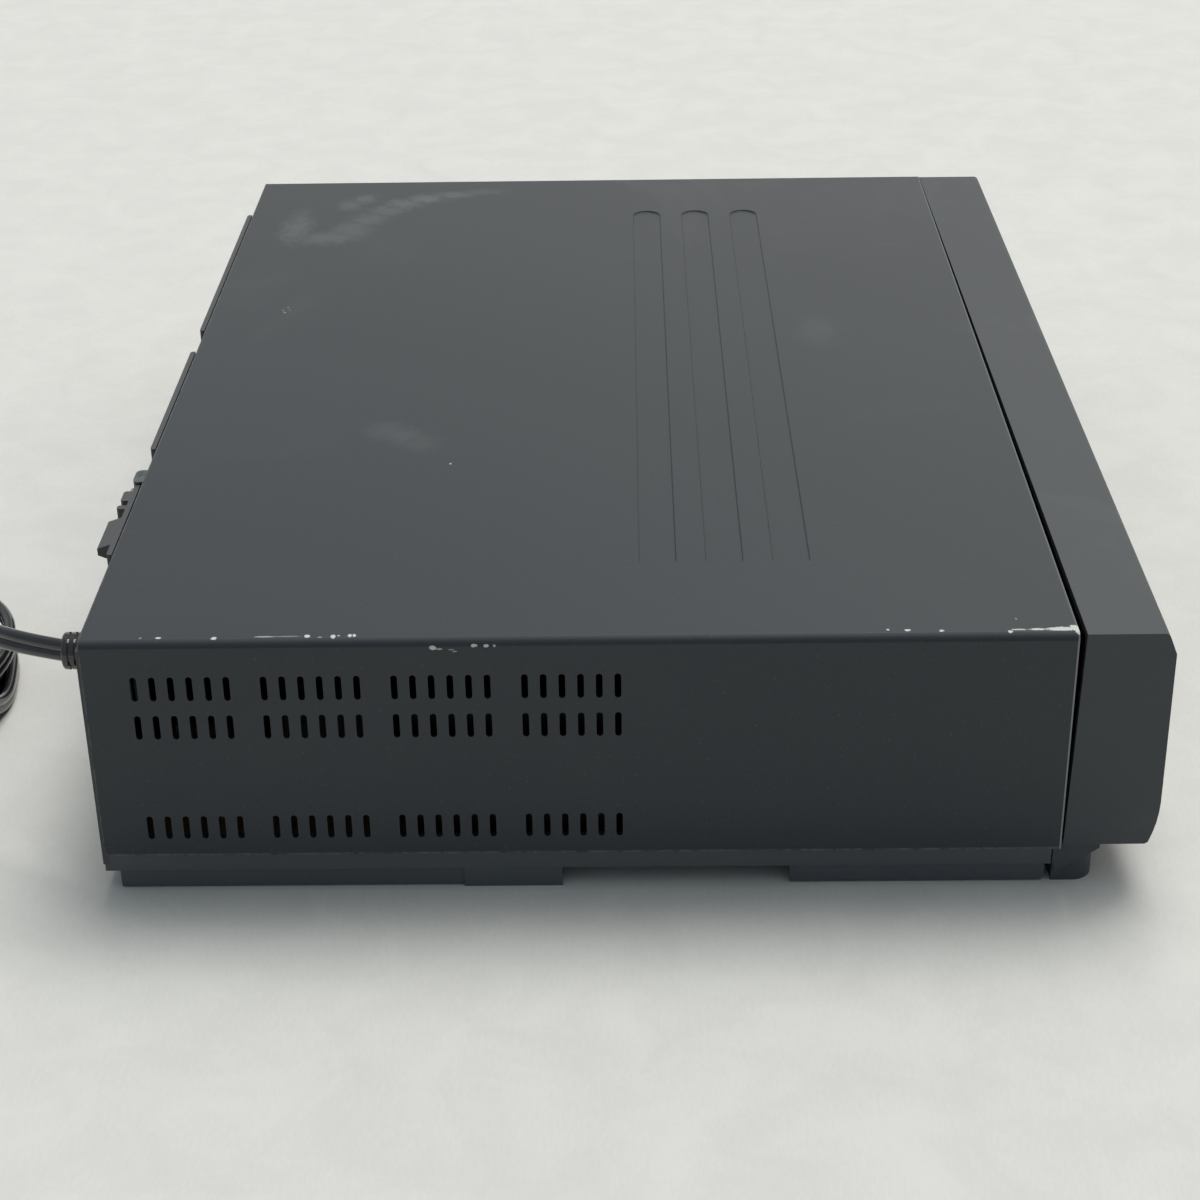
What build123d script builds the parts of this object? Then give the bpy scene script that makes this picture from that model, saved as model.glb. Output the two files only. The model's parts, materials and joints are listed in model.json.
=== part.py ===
"""Video cassette recorder as an assembly of separate pieces.

Frame: X to the right as seen from the front, Y to the rear, Z up.
Origin: on the table, at the middle of the machine's length and depth.
"""
from build123d import *
import math
import os

# ------------------------------------------------------------------ driving dimensions (mm)
# cover: one folded steel sheet over the top and both sides
cover_width = 430.0
cover_depth = 297.0
cover_height = 76.0
cover_gauge = 0.8
cover_bend_radius = 2.2
cover_corner_radius = 3.0
ground_clearance = 14.0

# cooling slots, in rows along both sides of the cover
vent_width = 2.0
vent_height = 8.3
vent_pitch = 5.58
vent_group = 6
vent_groups = 4
vent_rear_inset = 15.3
vent_row_heights = (59.9, 46.5, 10.4)

# shallow stiffening beads pressed into the top
bead_count = 3
bead_side_margin = 45.0
bead_width = 12.0
bead_pitch = 21.0
bead_depth = 0.5
bead_front_inset = 82.0

# lug that folds down over the rear panel and takes the cover screw, placed from the left side
lug_inset = 116.2
lug_width = 9.6
lug_drop = 13.0
lug_gap = 0.1
lug_corner_radius = 2.2
lug_screw_drop = 8.0

# front moulding
bezel_depth = 29.6
bezel_inset = 0.9
bezel_wall = 2.5
bezel_seam = 0.4
bezel_corner_gap = 2.4
bezel_foot_gap = 0.8
bezel_top_drop = 0.6
bezel_brow = 7.0
bezel_brow_setback = 3.1
bezel_chin = 15.5
bezel_chin_setback = 2.7
skirt_inset = 2.0
skirt_reach = 12.4
skirt_rear_overlap = 1.9
front_foot_inset = 3.4
front_foot_width = 26.0
front_foot_radius = 6.8
tongue_inset = 74.0
tongue_width = 12.0
tongue_reach = 14.0

# plastic chassis tray
tray_wall = 2.2
tray_floor = 2.5
tray_wall_height = 5.0
band_inset = 2.0
band_drop = 6.9
rail_inset = 3.0
rail_width = 3.0
rail_clearance = 0.5
rail_front_gap = 4.0
rail_gap_start = 83.5
rail_rear_inset = 3.4
foot_block_start = 154.7
foot_block_end = 185.5
foot_block_inset = 2.4
foot_block_width = 28.0
tray_slot_x = 128.0
tray_slot_pitch = 12.0
tray_slot_count = 4

# rear panel
panel_thickness = 2.2
panel_proud = 1.4
panel_top_drop = 4.0
panel_side_gap = 1.2
panel_rim_gap = 0.2
ledge_proud = 1.3
ledge_height = 22.0
ledge_slit = 1.1
ledge_drop = 1.0
ledge_end_radius = 1.0
ledge_left_spans = ((59.5, 119.5), (140.4, 229.8))
ledge_right_start = 251.3
ledge_right_margin = 41.9
hood_start = 66.8
hood_length = 19.7
hood_reach = 4.4
hood_fall = 1.5
hood_lip = 2.4
nub_places = ((94.1, 2.8, 3.2, 5.0), (100.3, 7.4, 3.0, 8.0))
rear_vent_count = 11
rear_vent_pitch = 6.0
rear_vent_height = 18.0
rear_vent_z = 38.0
rear_vent_margin = 8.0

# cassette, a standard half-inch tape shell
cassette_width = 187.0
cassette_depth = 103.0
cassette_thickness = 25.0
reel_spacing = 92.5
reel_from_door = 54.0

# cassette slot, flap and display window in the front moulding
slot_margin = 4.5
slot_sill = 1.2
flap_gap = 0.5
flap_thickness = 2.4
flap_recess = 0.5
flap_pin_radius = 1.2
flap_axis_setback = 4.2
flap_barrel_radius = 1.6
window_width = 190.0
window_height = 18.0
window_sill = 13.0
window_thickness = 2.2

display_half = 68.0
display_height = 15.0
display_depth = 7.0

# push buttons: name, side, distance in from that side, height above the table, width, height
button_travel = 1.2
button_proud = 1.0
button_gap = 0.3
button_body = 8.0
stem_radius = 1.6
button_places = (
    ("power_button", -1, 53.0, 72.0, 28.0, 10.0),
    ("stop_eject_button", -1, 53.0, 52.0, 28.0, 10.0),
    ("play_button", 1, 55.0, 72.0, 44.0, 11.0),
    ("rewind_button", 1, 70.5, 53.0, 19.0, 9.0),
    ("fast_forward_button", 1, 39.5, 53.0, 19.0, 9.0),
    ("record_button", 1, 55.0, 35.0, 19.0, 8.0),
)
rocker_inset = 53.0
rocker_z = 33.0
rocker_width = 34.0
rocker_height = 10.0
rocker_swing = 3.0

# circuit boards
board_thickness = 1.6
board_standoff = 4.5
front_board_setback = 14.0
switch_body = 6.0
switch_depth = 3.5

# tape deck
deck_gauge = 1.6
deck_level = 32.0
deck_half_width = 110.0
deck_start = 6.0
deck_length = 206.0
shaft_clearance = 0.05
run_gap = 0.3
cassette_drop = 14.6
carriage_travel = 50.0
carriage_start = 8.0
carriage_depth = 60.0
carriage_sheet = 1.2
carriage_gap = 1.5
carriage_pin_radius = 2.0
bridge_start = 40.0
bridge_end = 68.0
strap_start = 24.0
strap_end = 52.0
slot_clearance = 0.15
ledge_width = 12.0

drum_radius = 31.0
drum_tilt = 5.9
drum_offset_x = -8.0
drum_from_door = 44.0
lower_drum_height = 14.0
upper_drum_height = 13.0
drum_shaft_radius = 2.5

reel_radius = 16.5
reel_hub_radius = 10.0
reel_hub_height = 11.0
reel_disc = 3.5
reel_post_radius = 2.0

capstan_radius = 2.0
capstan_x = 44.0
capstan_from_door = 7.5
capstan_height = 32.0
flywheel_radius = 22.0
flywheel_thickness = 6.0
capstan_pulley_radius = 8.0
pulley_height = 4.0
motor_board_thickness = 1.4

pinch_radius = 7.0
pinch_width = 14.0
pinch_pin_radius = 1.5
pinch_pivot_offset = (22.0, 26.0)
pinch_swing = 30.0

idler_radius = 12.0
idler_arm_length = 26.0
drive_roller_radius = 13.7
clutch_pulley_radius = 12.0
clutch_shaft_radius = 2.0
belt_thickness = 1.0
belt_width = 2.6

gear_module = 1.0
cam_teeth = 48
pinion_teeth = 16
gear_width = 5.0
loading_motor_radius = 10.0

guide_start = (28.0, 16.5)
guide_end = (38.0, 8.0)
guide_roller_radius = 3.0
guide_height = 19.0
guide_block = 6.0

# rear connectors
f_connector_radius = 4.7625
f_connector_reach = 9.0
f_connector_spacing = 30.0
tuner_x = 50.0
tuner_width = 62.0
tuner_depth = 55.0
tuner_height = 36.0
can_wall = 1.0
phono_radius = 4.15
phono_reach = 8.0
phono_collar = 0.5
phono_spacing = 16.0
phono_inset = 75.0
selector_travel = 4.0

# power supply
supply_width = 75.0
supply_depth = 150.0
capacitor_radius = 11.0
capacitor_height = 32.0
heatsink_height = 46.0
heatsink_length = 62.0
fuse_radius = 2.6
fuse_length = 20.0

# mains cord: flat two-core lead, its width is its diameter here
cord_diameter = 7.3
bushing_radius = 5.75
bushing_inset = 14.0
bushing_z = 79.7
bushing_reach = 6.2
bushing_taper = 15.0
coil_inner_turn = 30.0
coil_outer_turn = 43.0
coil_layers = 2
coil_centre = (-85.5, 260.1)
cord_route = (
    (-201.2, 165.1, 79.7), (-198.1, 177.6, 80.3), (-190.5, 191.1, 80.0), (-177.0, 204.6, 75.0),
    (-158.5, 214.4, 61.0), (-142.0, 219.6, 42.5), (-128.5, 221.4, 24.0), (-116.5, 219.6, 9.5),
    (-104.0, 217.1, 3.65), (-92.0, 217.1, 3.65),
)
plug_length = 32.0
plug_width = 25.0
plug_thickness = 13.0
plug_pin_length = 16.0

# ------------------------------------------------------------------ levels and stations
overall_depth = button_proud + bezel_depth + cover_depth + panel_proud + f_connector_reach
front_y = -overall_depth / 2
face_y = front_y + button_proud
seam_y = face_y + bezel_depth
rear_edge_y = seam_y + cover_depth
panel_inner_y = rear_edge_y + panel_proud - panel_thickness
panel_face_y = rear_edge_y + panel_proud

cover_bottom_z = ground_clearance
cover_top_z = ground_clearance + cover_height
cover_half = cover_width / 2
band_bottom_z = ground_clearance - band_drop
tray_floor_z = band_bottom_z + tray_floor
tray_top_z = cover_bottom_z + tray_wall_height
tray_half = cover_half - band_inset
tray_front_y = seam_y + bezel_seam + skirt_rear_overlap
panel_top_z = cover_top_z - panel_top_drop
panel_half = cover_half - cover_gauge - panel_side_gap
ledge_y = panel_face_y + ledge_proud
ledge_top_z = cover_top_z - ledge_drop
lug_x = -cover_half + lug_inset
phono_x = cover_half - phono_inset
bushing_x = -cover_half + bushing_inset
bead_length = cover_width - 2 * bead_side_margin

bezel_half = cover_half - bezel_inset
bezel_top_z = cover_top_z - bezel_top_drop
bezel_bottom_z = cover_bottom_z + 1.0
bezel_inner_y = face_y + bezel_wall + 0.3

cassette_level = deck_level + 6.0 + cassette_drop
slot_half = cassette_width / 2 + slot_margin
slot_bottom_z = cassette_level - slot_sill
slot_top_z = cassette_level + cassette_thickness + 5.0
flap_axis_y = face_y + flap_axis_setback
flap_axis_z = slot_top_z - flap_gap - flap_barrel_radius
window_bottom_z = bezel_bottom_z + window_sill
button_layout = [(name, side * (cover_half - inset), z, width, height)
                 for name, side, inset, z, width, height in button_places]
rocker_x = -cover_half + rocker_inset

board_z = tray_floor_z + board_standoff
board_top_z = board_z + board_thickness
front_board_y = face_y + front_board_setback
switch_y = front_board_y - switch_depth

deck_under_z = deck_level - deck_gauge
deck_front_y = seam_y + deck_start
deck_rear_y = deck_front_y + deck_length
door_y = seam_y + carriage_start + carriage_depth - carriage_sheet - run_gap + carriage_travel
reel_y = door_y - reel_from_door
reel_x = reel_spacing / 2
drum_x = drum_offset_x
drum_y = door_y + drum_from_door
drum_base_z = deck_level + 9.0
capstan_y = door_y + capstan_from_door
idler_y = reel_y
clutch_y = reel_y + idler_arm_length

basket_half = cassette_width / 2 + 1.6 + carriage_sheet
slider_half = basket_half + carriage_gap + carriage_sheet
frame_half = slider_half + carriage_gap
frame_outer = frame_half + carriage_sheet
basket_front_y = seam_y + carriage_start
basket_rear_y = basket_front_y + carriage_depth
basket_roof_z = cassette_level + cassette_thickness + 1.4
slider_roof_z = basket_roof_z + carriage_sheet + 0.8
frame_roof_z = slider_roof_z + carriage_sheet + 0.8


# ------------------------------------------------------------------ small shape helpers
def block(x0, x1, y0, y1, z0, z1):
    """A box between two corners."""
    return Pos((x0 + x1) / 2, (y0 + y1) / 2, (z0 + z1) / 2) * Box(abs(x1 - x0), abs(y1 - y0), abs(z1 - z0))


def post(x, y, z0, z1, radius):
    """An upright cylinder."""
    return Pos(x, y, (z0 + z1) / 2) * Cylinder(radius, abs(z1 - z0))


def post_x(x0, x1, y, z, radius):
    """A cylinder along X."""
    return Pos((x0 + x1) / 2, y, z) * Rot(0, 90, 0) * Cylinder(radius, abs(x1 - x0))


def post_y(x, y0, y1, z, radius):
    """A cylinder along Y."""
    return Pos(x, (y0 + y1) / 2, z) * Rot(90, 0, 0) * Cylinder(radius, abs(y1 - y0))


def tube(x, y, z0, z1, outer, inner):
    """An upright ring."""
    return post(x, y, z0, z1, outer) - post(x, y, z0 - 1, z1 + 1, inner)


def tube_x(x0, x1, y, z, outer, inner):
    """A ring along X."""
    return post_x(x0, x1, y, z, outer) - post_x(x0 - 1, x1 + 1, y, z, inner)


def tube_y(x, y0, y1, z, outer, inner):
    """A ring along Y."""
    return post_y(x, y0, y1, z, outer) - post_y(x, y0 - 1, y1 + 1, z, inner)


def prism_x(points, half):
    """A YZ polygon drawn out to both sides along X."""
    return extrude(Plane.YZ * make_face(Polyline(*points, close=True)), amount=half, both=True)


def lean(shape, x, y, z, degrees):
    """Tilt a shape that was drawn about the local Z axis and stand it at a point."""
    return Pos(x, y, z) * Rot(-degrees, 0, 0) * shape


def pan_screw(x, y, z, length, head_radius, shank_radius):
    """A cross-headed screw that enters downwards, head seated at z."""
    head = post(x, y, z, z + 1.8, head_radius)
    head = fillet(head.edges().group_by(Axis.Z)[-1], 0.6)
    cross = Pos(x, y, z + 1.5) * (Box(head_radius * 1.1, 0.7, 1.2) + Box(0.7, head_radius * 1.1, 1.2))
    return head + post(x, y, z - length, z, shank_radius) - cross


# ------------------------------------------------------------------ enclosure
lug_inner_y = ledge_y + lug_gap
lug_screw_z = cover_top_z - lug_screw_drop
supply_left = -tray_half + tray_wall + 2.0
supply_right = supply_left + supply_width
supply_rear_y = panel_inner_y - 8.0
supply_front_y = supply_rear_y - supply_depth
main_left = deck_half_width + 5.0
main_right = tray_half - tray_wall - 2.0


def vent_positions():
    """Y of each slot of a row, counted forward from the rearmost, every seventh left out."""
    count = vent_group * vent_groups
    return [rear_edge_y - vent_rear_inset - vent_pitch * (i + i // vent_group) for i in range(count)]


def make_top_cover():
    """Folded sheet with side vents, pressed beads and rear lugs."""
    sheet = block(-cover_half, cover_half, seam_y, rear_edge_y, cover_bottom_z, cover_top_z)
    sheet = fillet(sheet.edges().filter_by(Axis.Y).group_by(Axis.Z)[-1], cover_bend_radius)
    hollow_half = cover_half - cover_gauge
    hollow = block(-hollow_half, hollow_half, seam_y - 1, rear_edge_y + 1, 0, cover_top_z - cover_gauge)
    hollow = fillet(hollow.edges().filter_by(Axis.Y).group_by(Axis.Z)[-1], cover_bend_radius - cover_gauge)
    cover = sheet - hollow
    inner_z = cover_top_z - cover_gauge
    for index in range(bead_count):
        bead_y = seam_y + bead_front_inset + bead_pitch * index
        backing = Pos(0, bead_y, inner_z) * SlotOverall(bead_length + 2 * cover_gauge, bead_width + 2 * cover_gauge)
        groove = Pos(0, bead_y, cover_top_z) * SlotOverall(bead_length, bead_width)
        cover += extrude(backing, amount=-bead_depth)
        cover -= extrude(groove, amount=-bead_depth, taper=40)
    rear_corners = cover.edges().filter_by(Axis.X).group_by(Axis.Z)[0].group_by(Axis.Y)[-1]
    cover = fillet(rear_corners, cover_corner_radius)
    vents = []
    for row in vent_row_heights:
        for y in vent_positions():
            vents.append(Pos(y, cover_bottom_z + row) * SlotOverall(vent_height, vent_width, rotation=90))
    cover -= extrude(Plane.YZ * (Sketch() + vents), amount=cover_width, both=True)
    left = lug_x - lug_width / 2
    right = lug_x + lug_width / 2
    outer_y = lug_inner_y + cover_gauge
    lug = block(left, right, rear_edge_y - 0.5, outer_y, cover_top_z - lug_drop, cover_top_z)
    plan = fillet(lug.edges().filter_by(Axis.Z).group_by(Axis.Y)[-1], lug_corner_radius)
    front = fillet(lug.edges().filter_by(Axis.Y).group_by(Axis.Z)[0], lug_corner_radius)
    lug = plan & front
    lug -= block(left - 1, right + 1, rear_edge_y - 1, lug_inner_y, 0, cover_top_z - cover_gauge)
    cover += lug
    return cover - post_y(lug_x, lug_inner_y - 1, outer_y + 1, lug_screw_z, 1.6)


def make_cover_screws():
    """Pan-head screw through the cover lug into the rear panel."""
    seat = lug_inner_y + cover_gauge
    head = post_y(lug_x, seat, seat + 1.9, lug_screw_z, 3.2)
    head = fillet(head.edges().group_by(Axis.Y)[-1], 0.6)
    cross = Pos(lug_x, seat + 1.7, lug_screw_z) * (Box(3.4, 1.2, 0.7) + Box(0.7, 1.2, 3.4))
    return head + post_y(lug_x, panel_inner_y - 5, seat + 0.1, lug_screw_z, 1.45) - cross


def board_posts():
    """X, Y of the tray's posts under the main board."""
    front = seam_y + 42
    rear = panel_inner_y - 14
    right = main_right - 8
    left = main_left + 8
    return [(right, front), (right, rear), (left, front), (left, rear), (-60.0, rear), (0.0, rear)]


def supply_posts():
    """X, Y of the tray's posts under the power supply board."""
    stations = (supply_rear_y - 8, supply_front_y + 8)
    return [(x, y) for y in stations for x in (supply_left + 8, supply_right - 8)]


def deck_posts():
    """X, Y of the tray's posts under the deck plate, the first four under the carriage frame."""
    x = frame_outer + 3.6
    stations = (deck_front_y + 10, deck_front_y + 108, deck_rear_y - 8)
    return [(side * x, y) for y in stations for side in (-1, 1)]


def plate_screw_places():
    """X, Y of the screws that hold the bottom plate."""
    return [(x, y) for x in (-70.0, 70.0) for y in (deck_front_y + 80, deck_front_y + 180)]


def make_base_chassis():
    """Tray with side bands, lower rails, middle feet and posts for the boards and deck."""
    tray = block(-tray_half, tray_half, tray_front_y, panel_inner_y, band_bottom_z, tray_top_z)
    tray -= block(-tray_half + tray_wall, tray_half - tray_wall, tray_front_y - 1, panel_inner_y + 1,
                  tray_floor_z, tray_top_z + 1)
    tray += block(-panel_half, panel_half, panel_inner_y - 1, panel_face_y - 0.5, band_bottom_z, tray_floor_z)
    rail_half = cover_half - rail_inset
    rail_front = seam_y + rail_front_gap
    for side in (-1, 1):
        outer = side * rail_half
        inner = side * (rail_half - rail_width)
        rear_rail = (seam_y + foot_block_end, rear_edge_y - rail_rear_inset)
        for start, end in ((rail_front, seam_y + rail_gap_start), rear_rail):
            rail = block(outer, inner, start, end, rail_clearance, band_bottom_z + 0.2)
            if start == rail_front:
                rail = chamfer(rail.edges().filter_by(Axis.X).group_by(Axis.Z)[0].sort_by(Axis.Y)[0], 1.2, 1.2)
            tray += rail
        foot_out = side * (cover_half - foot_block_inset)
        foot_in = side * (cover_half - foot_block_inset - foot_block_width)
        foot = block(foot_out, foot_in, seam_y + foot_block_start, seam_y + foot_block_end, 0, band_bottom_z + 0.2)
        tray += foot
    for x, y in board_posts() + supply_posts():
        tray += post(x, y, tray_floor_z - 0.5, board_z, 3.0)
    for x, y in deck_posts():
        tray += post(x, y, tray_floor_z - 0.5, deck_under_z, 3.6)
        tray -= post(x, y, deck_under_z - 12, deck_level, 1.5)
    for index in range(tray_slot_count):
        for side in (-1, 1):
            x = side * (tray_slot_x + tray_slot_pitch * index)
            tray -= block(x - 1.5, x + 1.5, seam_y + 60, seam_y + 100, band_bottom_z - 1, tray_floor_z + 1)
    for x, y in plate_screw_places():
        tray -= post(x, y, band_bottom_z - 1, tray_floor_z + 1, 1.5)
    return tray


def make_bottom_plate():
    """Steel screen plate screwed under the tray."""
    margin = 10.0
    places = plate_screw_places()
    xs = [x for x, y in places]
    ys = [y for x, y in places]
    plate = block(min(xs) - margin, max(xs) + margin, min(ys) - margin, max(ys) + margin,
                  band_bottom_z - cover_gauge, band_bottom_z)
    for x, y in places:
        plate -= post(x, y, band_bottom_z - 2, band_bottom_z + 1, 1.6)
    return plate


def make_chassis_screws():
    """Screws of the bottom plate and of the deck."""
    screws = []
    for x, y in plate_screw_places():
        upside_down = Rot(180, 0, 0) * pan_screw(0, 0, 0, tray_floor, 2.8, 1.45)
        screws.append(Pos(x, y, band_bottom_z - cover_gauge) * upside_down)
    for index, (x, y) in enumerate(deck_posts()):
        seat = deck_level + (carriage_sheet if index < 4 else 0)
        screws.append(pan_screw(x, y, seat, 8.0, 2.7, 1.45))
    return screws


def ledge_spans():
    """Left and right end of each ledge along the top of the rear panel."""
    spans = [(start - cover_half, end - cover_half) for start, end in ledge_left_spans]
    return spans + [(ledge_right_start - cover_half, cover_half - ledge_right_margin)]


def make_rear_panel():
    """Moulded panel with raised ledges, a hood, connector holes, vents and a notch for the cord bushing."""
    panel = block(-panel_half, panel_half, panel_inner_y, panel_face_y, tray_floor_z, panel_top_z)
    rim_top_z = cover_top_z - cover_gauge - panel_rim_gap
    panel += block(-panel_half, panel_half, panel_inner_y, rear_edge_y - 0.1, panel_top_z - 0.5, rim_top_z)
    lip_y = rear_edge_y + ledge_slit
    for x0, x1 in ledge_spans():
        ledge = block(x0, x1, panel_face_y - 0.5, ledge_y, panel_top_z - ledge_height, ledge_top_z)
        ledge += block(x0, x1, lip_y, ledge_y, panel_top_z - 1, ledge_top_z)
        panel += fillet(ledge.edges().filter_by(Axis.Z).group_by(Axis.Y)[-1], ledge_end_radius)
    roof = prism_x([(panel_face_y, ledge_top_z), (ledge_y, ledge_top_z),
                    (ledge_y + hood_reach, ledge_top_z - hood_fall),
                    (ledge_y + hood_reach, ledge_top_z - hood_fall - hood_lip),
                    (panel_face_y, ledge_top_z - hood_fall - 2 * hood_lip)], hood_length / 2)
    panel += Pos(-cover_half + hood_start + hood_length / 2, 0, 0) * roof
    for start, width, reach, height in nub_places:
        left = start - cover_half
        nub = block(left, left + width, panel_face_y, ledge_y + reach, ledge_top_z - height, ledge_top_z - 0.6)
        panel += chamfer(nub.edges().filter_by(Axis.Z).group_by(Axis.Y)[-1], 0.7)
    for x in tuner_connectors():
        panel -= post_y(x, panel_inner_y - 1, panel_face_y + 1, tuner_connector_z, f_connector_radius + 1.6)
    panel -= selector_opening(panel_inner_y - 1, panel_face_y + 1)
    for x, z in phono_places():
        panel -= post_y(x, panel_inner_y - 1, panel_face_y + 1, z, phono_radius + 0.8)
    for index in range(rear_vent_count):
        x = supply_left + rear_vent_margin + rear_vent_pitch * index
        vent = Pos(x, rear_vent_z) * SlotOverall(rear_vent_height, vent_width, rotation=90)
        panel -= extrude(Plane.XZ * vent, amount=cover_depth, both=True)
    neck = bushing_radius - 1.1
    panel -= post_y(bushing_x, panel_inner_y - 1, panel_face_y + 1, bushing_z, neck)
    panel -= block(bushing_x - neck, bushing_x + neck, panel_inner_y - 1, panel_face_y + 1, bushing_z, cover_top_z)
    panel += tube_y(lug_x, panel_inner_y - 5, panel_inner_y, lug_screw_z, 3.4, 1.5)
    return panel - post_y(lug_x, panel_inner_y - 1, ledge_y + 1, lug_screw_z, 1.5)


# ------------------------------------------------------------------ front moulding
front_board_half = bezel_half - bezel_wall - 12.0
front_board_bottom_z = bezel_bottom_z + bezel_wall + 1.5
front_board_top_z = bezel_top_z - bezel_wall - 5.0
rocker_pivot_y = face_y + 5.0


def front_bosses():
    """X, Z of the bosses that carry the front board."""
    x = front_board_half - 6
    return [(side * x, z) for z in (front_board_bottom_z + 5, front_board_top_z - 5) for side in (-1, 1)]


def bezel_section():
    """Side outline of the front moulding: sloping brow, upright face and a chin that curves back."""
    rear = seam_y - bezel_seam
    brow = (face_y + bezel_brow_setback, bezel_top_z)
    cheek = (face_y + 0.3, bezel_top_z - bezel_brow)
    chin_top = (face_y, bezel_bottom_z + bezel_chin)
    chin_end = (face_y + bezel_chin_setback, bezel_bottom_z + 0.6)
    toe = (face_y + bezel_chin_setback + 1.0, bezel_bottom_z)
    rise = chin_top[1] - chin_end[1]
    radius = (rise ** 2 + bezel_chin_setback ** 2) / (2 * bezel_chin_setback)
    half_way = (face_y + radius - math.sqrt(radius ** 2 - rise ** 2 / 4), chin_top[1] - rise / 2)
    edges = [Line((rear, bezel_top_z), brow), Line(brow, cheek), Line(cheek, chin_top),
             ThreePointArc(chin_top, half_way, chin_end), Line(chin_end, toe),
             Line(toe, (rear, bezel_bottom_z)), Line((rear, bezel_bottom_z), (rear, bezel_top_z))]
    section = make_face(edges)
    soft = [section.vertices().sort_by_distance(Vector(*corner, 0))[0] for corner in (brow, cheek)]
    return fillet(soft, 2.0)


def seam_wedge():
    """Everything behind a plane that opens the seam towards the upper left corner."""
    corner = Vector(-bezel_half, seam_y - bezel_corner_gap, bezel_top_z)
    foot = Vector(-bezel_half, seam_y - bezel_foot_gap, bezel_bottom_z)
    far = Vector(bezel_half, seam_y - bezel_seam, bezel_top_z)
    normal = (far - corner).cross(foot - corner).normalized()
    if normal.Y < 0:
        normal = normal * -1
    reach = 2 * cover_width
    return Plane(origin=corner, z_dir=normal) * Pos(0, 0, reach / 2) * Box(reach, reach, reach)


def make_front_bezel():
    """Front moulding with the cassette slot, window and key openings, skirt and front feet."""
    rear = seam_y - bezel_seam
    section = bezel_section()
    shell = extrude(Plane.YZ * section, amount=bezel_half, both=True)
    shell = shell - extrude(Plane.YZ * offset(section, -bezel_wall), amount=bezel_half - bezel_wall, both=True)
    shell -= block(-bezel_half + bezel_wall, bezel_half - bezel_wall, rear - 2 * bezel_wall, rear + 1,
                   bezel_bottom_z + bezel_wall, bezel_top_z - bezel_wall)
    shell -= seam_wedge()
    skirt_half = cover_half - skirt_inset
    skirt = prism_x([(seam_y + skirt_rear_overlap, bezel_bottom_z + 1), (seam_y + skirt_rear_overlap, 7.7),
                     (seam_y + skirt_rear_overlap - 1.2, 4.0), (seam_y - skirt_reach, 12.8),
                     (seam_y - skirt_reach - 0.3, bezel_bottom_z + 1)], skirt_half)
    bezel = shell + skirt
    for side in (-1, 1):
        outer = side * (cover_half - front_foot_inset)
        inner = side * (cover_half - front_foot_inset - front_foot_width)
        foot = block(outer, inner, seam_y - skirt_reach + 0.6, seam_y + 1.7, 0, bezel_bottom_z - 1)
        corner = foot.edges().filter_by(Axis.Z).group_by(Axis.Y)[0].sort_by(Axis.X)[0 if side < 0 else -1]
        bezel += fillet(corner, front_foot_radius)
        tongue_in = side * (bezel_half - tongue_inset)
        bezel += block(tongue_in, tongue_in + side * tongue_width, seam_y - 6, seam_y + tongue_reach,
                       tray_floor_z, tray_floor_z + 2.4)
        ear = side * slot_half
        bezel += block(ear, ear + side * 4.5, face_y + 1.4, flap_axis_y + 3.6, flap_axis_z - 3.6, flap_axis_z + 3.6)
    bezel -= block(-slot_half, slot_half, face_y - 2, flap_axis_y + 5, slot_bottom_z, slot_top_z)
    bore = flap_pin_radius + shaft_clearance
    bezel -= post_x(-slot_half - 9, -slot_half + 1, flap_axis_y, flap_axis_z, bore)
    bezel -= post_x(slot_half - 1, slot_half + 3.9, flap_axis_y, flap_axis_z, bore)
    bezel -= post_x(-slot_half - 9, -slot_half - 4.5, flap_axis_y, flap_axis_z, flap_pin_radius + 1.5)
    half = window_width / 2
    bezel -= block(-half, half, face_y - 2, bezel_inner_y + 1, window_bottom_z, window_bottom_z + window_height)
    for name, x, z, width, height in button_layout:
        bezel -= key(x, z, width + 2 * button_gap, height + 2 * button_gap, face_y - 2, bezel_inner_y + 1, 1.4)
    bezel -= key(rocker_x, rocker_z, rocker_width + 1.2, rocker_height + 0.8, face_y - 2, bezel_inner_y + 1, 1.4)
    for end in (-1, 1):
        near = rocker_z + end * (rocker_height / 2 + 0.4)
        ear = block(rocker_x - 3, rocker_x + 3, face_y + 1.5, rocker_pivot_y + 3, near, near + end * 3.2)
        bezel += ear - post(rocker_x, rocker_pivot_y, near - end, near + end * 5, flap_pin_radius + shaft_clearance)
    for x, z in front_bosses():
        bezel += post_y(x, face_y + 1.5, front_board_y, z, 3.2)
    return bezel


def key(x, z, width, height, y0, y1, corner):
    """A key-shaped block: a rectangle with rounded corners drawn out along Y."""
    body = block(x - width / 2, x + width / 2, y0, y1, z - height / 2, z + height / 2)
    return fillet(body.edges().filter_by(Axis.Y), corner)


def make_cassette_flap():
    """Flap over the cassette slot, on pins at its upper corners."""
    half = slot_half - flap_gap
    front = face_y + flap_recess
    flap = block(-half, half, front, front + flap_thickness, slot_bottom_z + flap_gap, slot_top_z - flap_gap)
    flap = fillet(flap.edges().filter_by(Axis.Y), 0.8)
    flap += post_x(-half, half, flap_axis_y, flap_axis_z, flap_barrel_radius)
    flap += post_x(-slot_half - 8.6, half, flap_axis_y, flap_axis_z, flap_pin_radius)
    flap += post_x(-half, slot_half + 3.6, flap_axis_y, flap_axis_z, flap_pin_radius)
    return flap


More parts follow.
